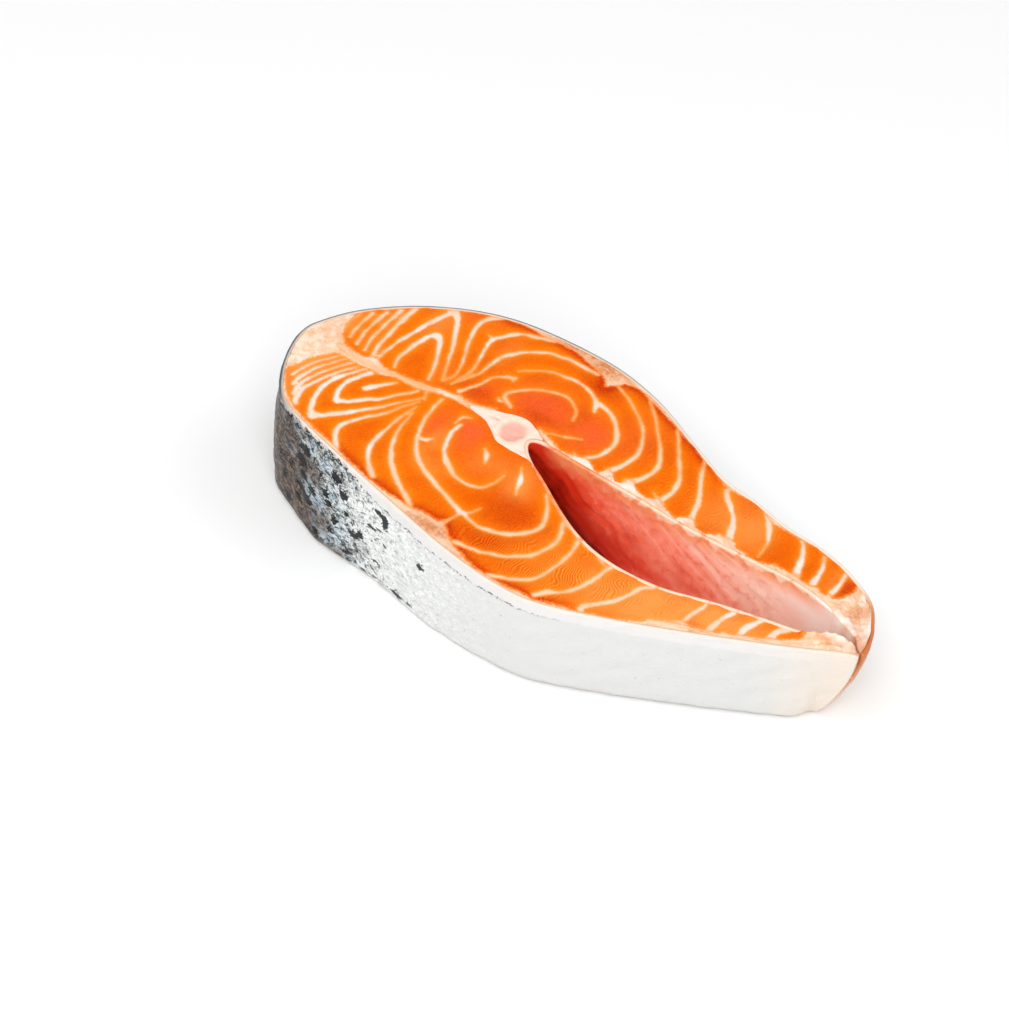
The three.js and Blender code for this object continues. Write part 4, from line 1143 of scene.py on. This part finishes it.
# The lining is a thin closed strip on the cavity wall. Its ring goes up the open side, over
# the upper edge and down the back. Slanted folds are a cosine of the slanted distance, bent
# and weakened by soft waves.
def makeLining(material):
    reach = steak["linedReach"]
    cavity = cavityLine[cavityLine[:, 0] < reach + 3.5]
    at = np.linspace(0, lengths(cavity)[-1], lining["columns"])
    line = placesOn(cavity, at)
    left = leftOf(line)
    x = line[:, :1]
    rows = lining["rows"]
    level = np.concatenate([[0, 0.01], np.linspace(0.03, 0.98, rows - 4), [0.99, 1]])[None]
    up = level * topHeight(x)
    drop = topHeight(x) - up
    bend, size, seed = lining["foldBend"]
    slant = x - lining["slope"] * drop + bend * waves(x, drop, size, seed)
    folds = 0.5 + 0.5 * np.cos(slant * 2 * math.pi / lining["foldPitch"])
    share, size, seed = lining["foldFade"]
    folds = folds * (1 - share + share * waves(x, drop, size, seed))
    fade = smoothStep(drop, 0.6, 3.5) * smoothStep(up, 0.5, 3) * smoothStep(x, -11, -2)
    fade = fade * (1 - smoothStep(x, 52, 64))
    toEnd = smoothStep(x, reach - 1, reach + 3)
    radius = lining["edgeRadius"]
    edge = radius * quarterRound(drop / radius)
    inset = lining["endInset"]
    front = lining["fold"] * fade * folds - edge - inset[0] * toEnd
    behind = -steak["liningThickness"] * (1 - toEnd) - inset[1] * toEnd
    behind = np.broadcast_to(behind, front.shape)
    z = lining["lift"] + (topHeight(x) - 0.05 - lining["lift"]) * level
    sides = []
    for away, flip in ((front, 1), (behind, -1)):
        place = line[:, None] + left[:, None] * away[..., None]
        sides.append(np.concatenate([place, z[..., None]], 2)[:, ::flip])
    ring = np.concatenate(sides, 1)
    dropAll = topHeight(ring[..., 0]) - ring[..., 2]
    uv = np.stack([np.broadcast_to(at[:, None], dropAll.shape), dropAll], -1)
    places = np.stack([ring[..., 0].ravel(), dropAll.ravel()], 1)
    _, gap, half = nearestLine(places, lining["tendons"])
    fields = {
        "alongFish": ring[..., 0],
        "drop": dropAll,
        "slant": np.concatenate([slant, slant[:, ::-1]], 1),
        "tendon": 0.3 * np.exp(-((gap / np.maximum(1.2 * half, 0.25)) ** 2)),
        "darkFold": spots(ring[..., 0], dropAll, lining["darkFolds"]),
    }
    return stripPiece("bellyLining", ring, uv, fields, material, "belly_lining")


# Peritoneum, the wet membrane inside the belly: blood red beside the backbone, rose and then
# pearly pink towards the belly, in soft slanted folds with a few white tendons.
def liningMaterial():
    material, tree = startMaterial("wet belly membrane")
    field = {
        name: addNode(tree, "Attribute", {"attribute_name": name}, output=2)
        for name in ("alongFish", "drop", "slant", "tendon", "darkFold")
    }
    patterns = lining["patterns"]
    uv = addNode(tree, "UVMap", {"uv_map": "millimetres"})
    blotch = addNode(tree, "TexNoise", flatNoise, {
        "Vector": uv, "Scale": patterns["blotches"], "Detail": 3, "Distortion": 0.6})
    grain = addNode(tree, "TexNoise", flatNoise, {
        "Vector": uv, "Scale": patterns["grain"], "Detail": 3})
    mottle = addNode(tree, "TexNoise", flatNoise, {
        "Vector": uv, "Scale": patterns["mottling"], "Detail": 4, "Roughness": 0.6,
        "Distortion": 0.3})
    slanted = addNode(tree, "CombineXYZ", None, {"X": field["slant"], "Y": field["drop"]})
    broadPlace, finePlace = (
        addNode(tree, "Mapping", None, {"Vector": slanted, "Scale": patterns[name]})
        for name in ("broadFolds", "fineFolds")
    )
    broadFold = addNode(tree, "TexNoise", flatNoise, {
        "Vector": broadPlace, "Scale": 1, "Detail": 2})
    fineFold = addNode(tree, "TexNoise", flatNoise, {
        "Vector": finePlace, "Scale": 1, "Detail": 3, "Roughness": 0.6})
    # depth in the belly: along the fish, less what lies below the edge, swayed by the folds
    depth = addNode(tree, "Math", {"operation": "MULTIPLY_ADD"}, {
        0: field["drop"], 1: -1.15, 2: field["alongFish"]})
    depth = addNode(tree, "Math", {"operation": "MULTIPLY_ADD"}, {0: blotch, 1: 14, 2: depth})
    depth = addNode(tree, "Math", {"operation": "MULTIPLY_ADD"}, {0: broadFold, 1: 16, 2: depth})
    reached = {
        name: addNode(tree, "MapRange", smooth, {"Value": depth, "From Min": start, "From Max": end})
        for name, (start, end) in lining["depths"].items()
    }
    dark = addNode(tree, "MapRange", smooth, {
        "Value": fineFold, "From Min": 0.56, "From Max": 0.72, "To Max": 0.14})
    dark = addNode(tree, "Math", {"operation": "ADD", "use_clamp": True}, {
        0: dark, 1: field["darkFold"]})
    inside = addNode(tree, "MapRange", smooth, {
        "Value": field["alongFish"], "From Min": 64, "From Max": 44})
    dark = addNode(tree, "Math", {"operation": "MULTIPLY"}, {0: dark, 1: inside})
    light = addNode(tree, "MapRange", smooth, {
        "Value": fineFold, "From Min": 0.46, "From Max": 0.3, "To Max": 0.08})
    light = addNode(tree, "Math", {"operation": "MULTIPLY"}, {0: light, 1: reached["rose"]})
    # mottling
    bloody = addNode(tree, "MapRange", smooth, {
        "Value": mottle, "From Min": 0.52, "From Max": 0.68, "To Max": 0.3})
    bloody = addNode(tree, "Math", {"operation": "MULTIPLY"}, {0: bloody, 1: inside})
    milky = addNode(tree, "MapRange", smooth, {
        "Value": mottle, "From Min": 0.48, "From Max": 0.32, "To Max": 0.2})
    milky = addNode(tree, "Math", {"operation": "MULTIPLY"}, {0: milky, 1: reached["red"]})
    # pale rim along the upper edge
    ragged = addNode(tree, "TexNoise", flatNoise, {
        "Vector": uv, "Scale": patterns["rim"], "Detail": 2})
    wave = addNode(tree, "Math", {"operation": "MULTIPLY_ADD"}, {0: ragged, 1: 5, 2: -1.7})
    rim = addNode(tree, "Math", {"operation": "SUBTRACT"}, {0: field["drop"], 1: wave})
    rim = addNode(tree, "MapRange", smooth, {
        "Value": rim, "From Min": 0.5, "From Max": -0.6, "To Max": 0.95})
    apexRim = addNode(tree, "MapRange", smooth, {
        "Value": field["drop"], "From Min": 6, "From Max": 0.4, "To Max": 0.95})
    fromApex = addNode(tree, "MapRange", smooth, {
        "Value": field["alongFish"], "From Min": 2, "From Max": 14})
    rim = addNode(tree, "Math", {"operation": "MULTIPLY"}, {0: rim, 1: fromApex})
    fromBone = addNode(tree, "MapRange", smooth, {
        "Value": field["alongFish"], "From Min": -10, "From Max": -4})
    apexRim = addNode(tree, "Math", {"operation": "MULTIPLY"}, {0: apexRim, 1: fromBone})
    boneRim = addNode(tree, "MapRange", smooth, {
        "Value": field["drop"], "From Min": 0.7, "From Max": 0.3, "To Max": 0.9})
    toBone = addNode(tree, "MapRange", smooth, {
        "Value": field["alongFish"], "From Min": -7, "From Max": -10})
    boneRim = addNode(tree, "Math", {"operation": "MULTIPLY"}, {0: boneRim, 1: toBone})
    toEnd = addNode(tree, "MapRange", smooth, {
        "Value": field["alongFish"], "From Min": 60, "From Max": 70, "To Max": 0.85})
    layers = [(amount, lining[name]) for name, amount in reached.items()] + [
        (apexRim, lining["apexRim"]), (bloody, lining["blood"]), (milky, lining["pale"]),
        (dark, lining["blood"]), (light, lining["pale"]), (field["tendon"], lining["tendon"]),
        (rim, lining["rim"]), (boneRim, lining["rim"]), (toEnd, lining["pearl"]),
    ]
    colour = lining["apex"]
    for amount, tone in layers:
        colour = addNode(tree, "Mix", inColour, {0: amount, 6: colour, 7: tone}, 2)
    bump = addNode(tree, "Bump", None, {"Height": fineFold, "Strength": 0.1,
                                        "Distance": 0.0005})
    bump = addNode(tree, "Bump", None, {"Height": grain, "Strength": 0.3, "Distance": 0.0002,
                                        "Normal": bump})
    surface = addNode(tree, "BsdfPrincipled", None, {
        "Base Color": colour, "Roughness": lining["roughness"], "IOR": 1.4, "Normal": bump,
        "Specular IOR Level": 0.15, "Coat Weight": 0.06, "Coat Roughness": 0.15})
    addNode(tree, "OutputMaterial", None, {"Surface": surface})
    return material


bone = {
    "columns": 90,
    "rows": 46,
    "vertebra": (-17.9, 4.6),
    "vertebraRadius": 4.0,
    "vertebraShape": (0.85, 1.05),  # along the fish and across it, times the radius
    "dish": 0.8,
    "rim": (0.18, 4.9, 0.9),    # height, radius and width of the raised rim round the dish
    "canal": (-23.6, 6),
    "canalSize": (1.3, 0.5),
    "canalDepth": 0.7,
    "edgeRadius": 0.3,
    "blotches": 0.45,           # per mm
    "waveRelief": (0.08, 3, 41),    # height, wave length and seed of its soft waves
    "sink": 0.1,                # how far the cut bone lies below the flat cut face
    "apexReach": -8.2,          # the cavity's narrow end lies before this place along the fish
    "ring": "#F8DCC8",
    "pith": "#EFA593",
    "arch": "#F9DDCF",
    "root": "#FBD2B4",
    "canalTone": "#E9B79C",
    "roughness": 0.38,
}


# The backbone is a closed body. Its cut face is ruled between the near and the far side of
# the outline and bent to the cavity's narrow end. The vertebra's face is a shallow dish with
# a raised rim, and the nerve canal is a small oval pit.
def makeBackbone(material):
    rows = bone["rows"]
    near = smoothLine(steak["boneNear"][::-1], count=bone["columns"])
    far = smoothLine(steak["boneFar"], count=bone["columns"])
    end = cavityLine[cavityLine[:, 0] < bone["apexReach"]]
    last, first = (np.hypot(*(end - side[-1]).T).argmin() for side in (near, far))
    between = end[first:last + 1][::-1]
    ends = placesOn(between, np.linspace(0, lengths(between)[-1], rows))
    ends += leftOf(ends) * (steak["liningThickness"] + steak["joint"])
    along = np.linspace(0, 1, bone["columns"])[:, None, None]
    across = np.linspace(0, 1, rows)[None, :, None]
    # a 6th power draws only the two corners of this end onto the sides' last points
    ends += (1 - across[0]) ** 6 * (near[-1] - ends[0]) + across[0]**6 * (far[-1] - ends[-1])
    ruled = near[:, None] * (1 - across) + far[:, None] * across
    flat = ruled + along**3 * (ends[None] - ruled[-1:])
    px, py = flat[..., 0], flat[..., 1]
    cx, cy = bone["vertebra"]
    stretchX, stretchY = bone["vertebraShape"]
    reach = np.hypot((px - cx) / stretchX, (py - cy) / stretchY)
    dish = -bone["dish"] * np.maximum(1 - (reach / bone["vertebraRadius"]) ** 2, 0)
    rimHeight, rimRadius, rimWidth = bone["rim"]
    raised = rimHeight * np.exp(-(((reach - rimRadius) / rimWidth) ** 2))
    canal = [(p - at) / size for p, at, size in zip((px, py), bone["canal"], bone["canalSize"])]
    canal = np.hypot(*canal)
    pit = -bone["canalDepth"] * np.exp(-(canal**2) * 1.6)
    height, size, seed = bone["waveRelief"]
    relief = dish + raised + pit + height * waves(px, py, size, seed) - bone["sink"]
    toEdge = np.minimum(across[..., 0], 1 - across[..., 0]) * np.hypot(*(near - far).T)[:, None]
    radius = bone["edgeRadius"]
    drop = radius * quarterRound(toEdge / radius)
    top = np.concatenate([flat, (topHeight(px) + relief - drop)[..., None]], 2)
    low = np.concatenate([flat, np.maximum(-relief + drop, 0.01)[..., None]], 2)
    top[0], low[0] = top[0].mean(0), low[0].mean(0)
    ring = np.concatenate([top, low[:, ::-1]], 1)
    fields = {
        "fromPith": np.concatenate([reach, reach[:, ::-1]], 1),
        "fromCanal": np.concatenate([canal, canal[:, ::-1]], 1),
        "alongFish": ring[..., 0],
    }
    return stripPiece("backbone", ring, ring[..., :2], fields, material, "backbone")


# Raw fish bone and gristle: milky and moist, a white ring round a rosy soft centre.
def boneMaterial():
    material, tree = startMaterial("raw fish bone and gristle")
    field = {
        name: addNode(tree, "Attribute", {"attribute_name": name}, output=2)
        for name in ("fromPith", "fromCanal", "alongFish")
    }
    place = addNode(tree, "TexCoord", output=3)
    inMm = addNode(tree, "Mapping", None, {"Vector": place, "Scale": (1000, 1000, 1000)})
    blotch = addNode(tree, "TexNoise", None, {
        "Vector": inMm, "Scale": bone["blotches"], "Detail": 3})
    uneven = addNode(tree, "Math", {"operation": "MULTIPLY_ADD"}, {
        0: blotch, 1: 1.6, 2: field["fromPith"]})
    ring = addNode(tree, "MapRange", smooth, {"Value": uneven, "From Min": 7, "From Max": 5.6})
    root = addNode(tree, "MapRange", smooth, {
        "Value": field["alongFish"], "From Min": -15, "From Max": -10, "To Max": 0.6})
    pith = addNode(tree, "MapRange", smooth, {
        "Value": uneven, "From Min": 5.2, "From Max": 3.4, "To Max": 0.8})
    pit = addNode(tree, "MapRange", smooth, {
        "Value": field["fromCanal"], "From Min": 1.3, "From Max": 0.4, "To Max": 0.8})
    colour = addNode(tree, "Mix", inColour, {0: ring, 6: bone["arch"], 7: bone["ring"]}, 2)
    layers = ((root, bone["root"]), (pith, bone["pith"]), (pit, bone["canalTone"]))
    for amount, tone in layers:
        colour = addNode(tree, "Mix", inColour, {0: amount, 6: colour, 7: tone}, 2)
    bump = addNode(tree, "Bump", None, {"Height": blotch, "Strength": 0.4, "Distance": 0.0003})
    surface = addNode(tree, "BsdfPrincipled", {"subsurface_method": "RANDOM_WALK"}, {
        "Base Color": colour, "Roughness": bone["roughness"], "IOR": 1.38, "Normal": bump,
        "Specular IOR Level": 0.35, "Subsurface Weight": 0.1, "Subsurface Radius": (1, 0.6, 0.5),
        "Subsurface Scale": 0.0012, "Coat Weight": 0.08, "Coat Roughness": 0.2})
    addNode(tree, "OutputMaterial", None, {"Surface": surface})
    return material


studio = {
    "floorSize": 6,
    "floorColour": "#F6F6F6",
    "world": "#FFFFFF",
    "worldStrength": 0.42,
    # area lights: place and size in metres, power in watts
    "lights": {
        "key": ((-0.3, -0.5, 1.4), 1.4, 10.6),
        "fill": ((0.5, -1.0, 0.9), 1.2, 12),
        "back": ((1.0, 0.8, 1.1), 1.2, 6),
    },
    # camera: place and aim in drawing millimetres, roll in degrees, lens in millimetres
    "cameraAt": (157.46, -336.425, 371.073),
    "aim": (-13.418, -5.398, 13.0),
    "roll": 4.7707,
    "lens": 77.994,
}


def makeStudio():
    scene = bpy.context.scene
    scene.view_settings.view_transform = "Standard"
    world = bpy.data.worlds.new("soft white room")
    world.use_nodes = True
    ground = world.node_tree.nodes["Background"]
    ground.inputs["Color"].default_value = linearColour(studio["world"])
    ground.inputs["Strength"].default_value = studio["worldStrength"]
    scene.world = world
    half = studio["floorSize"] / 2
    mesh = bpy.data.meshes.new("floor")
    mesh.from_pydata([(-half, -half, 0), (half, -half, 0), (half, half, 0), (-half, half, 0)], [],
                     [(0, 1, 2, 3)])
    paper, tree = startMaterial("matt white paper")
    surface = addNode(tree, "BsdfPrincipled", None, {
        "Base Color": studio["floorColour"], "Roughness": 0.9, "Specular IOR Level": 0.1})
    addNode(tree, "OutputMaterial", None, {"Surface": surface})
    mesh.materials.append(paper)
    floor = bpy.data.objects.new("floor", mesh)
    scene.collection.objects.link(floor)
    for name, (place, size, power) in studio["lights"].items():
        data = bpy.data.lights.new(name, "AREA")
        data.size, data.energy = size, power
        light = bpy.data.objects.new(name, data)
        light.location = place
        light.rotation_mode = "QUATERNION"
        light.rotation_quaternion = (-Vector(place)).to_track_quat("-Z", "Y")
        scene.collection.objects.link(light)
    camera = bpy.data.objects.new("camera", bpy.data.cameras.new("camera"))
    camera.data.lens = studio["lens"]
    camera.data.sensor_width = 36
    camera.data.clip_start, camera.data.clip_end = 0.01, 20
    at = (Vector(studio["cameraAt"]) + Vector(shift)) / 1000
    aim = (Vector(studio["aim"]) + Vector(shift)) / 1000
    turn = (aim - at).to_track_quat("-Z", "Y").to_matrix()
    turn = turn @ Matrix.Rotation(math.radians(studio["roll"]), 3, "Z")
    camera.matrix_world = Matrix.Translation(at) @ turn.to_4x4()
    scene.collection.objects.link(camera)
    scene.camera = camera
    print("studio ready")


makeFlesh(muscleMaterial())
makeSkin(skinMaterial())
makeLining(liningMaterial())
makeBackbone(boneMaterial())
makeStudio()
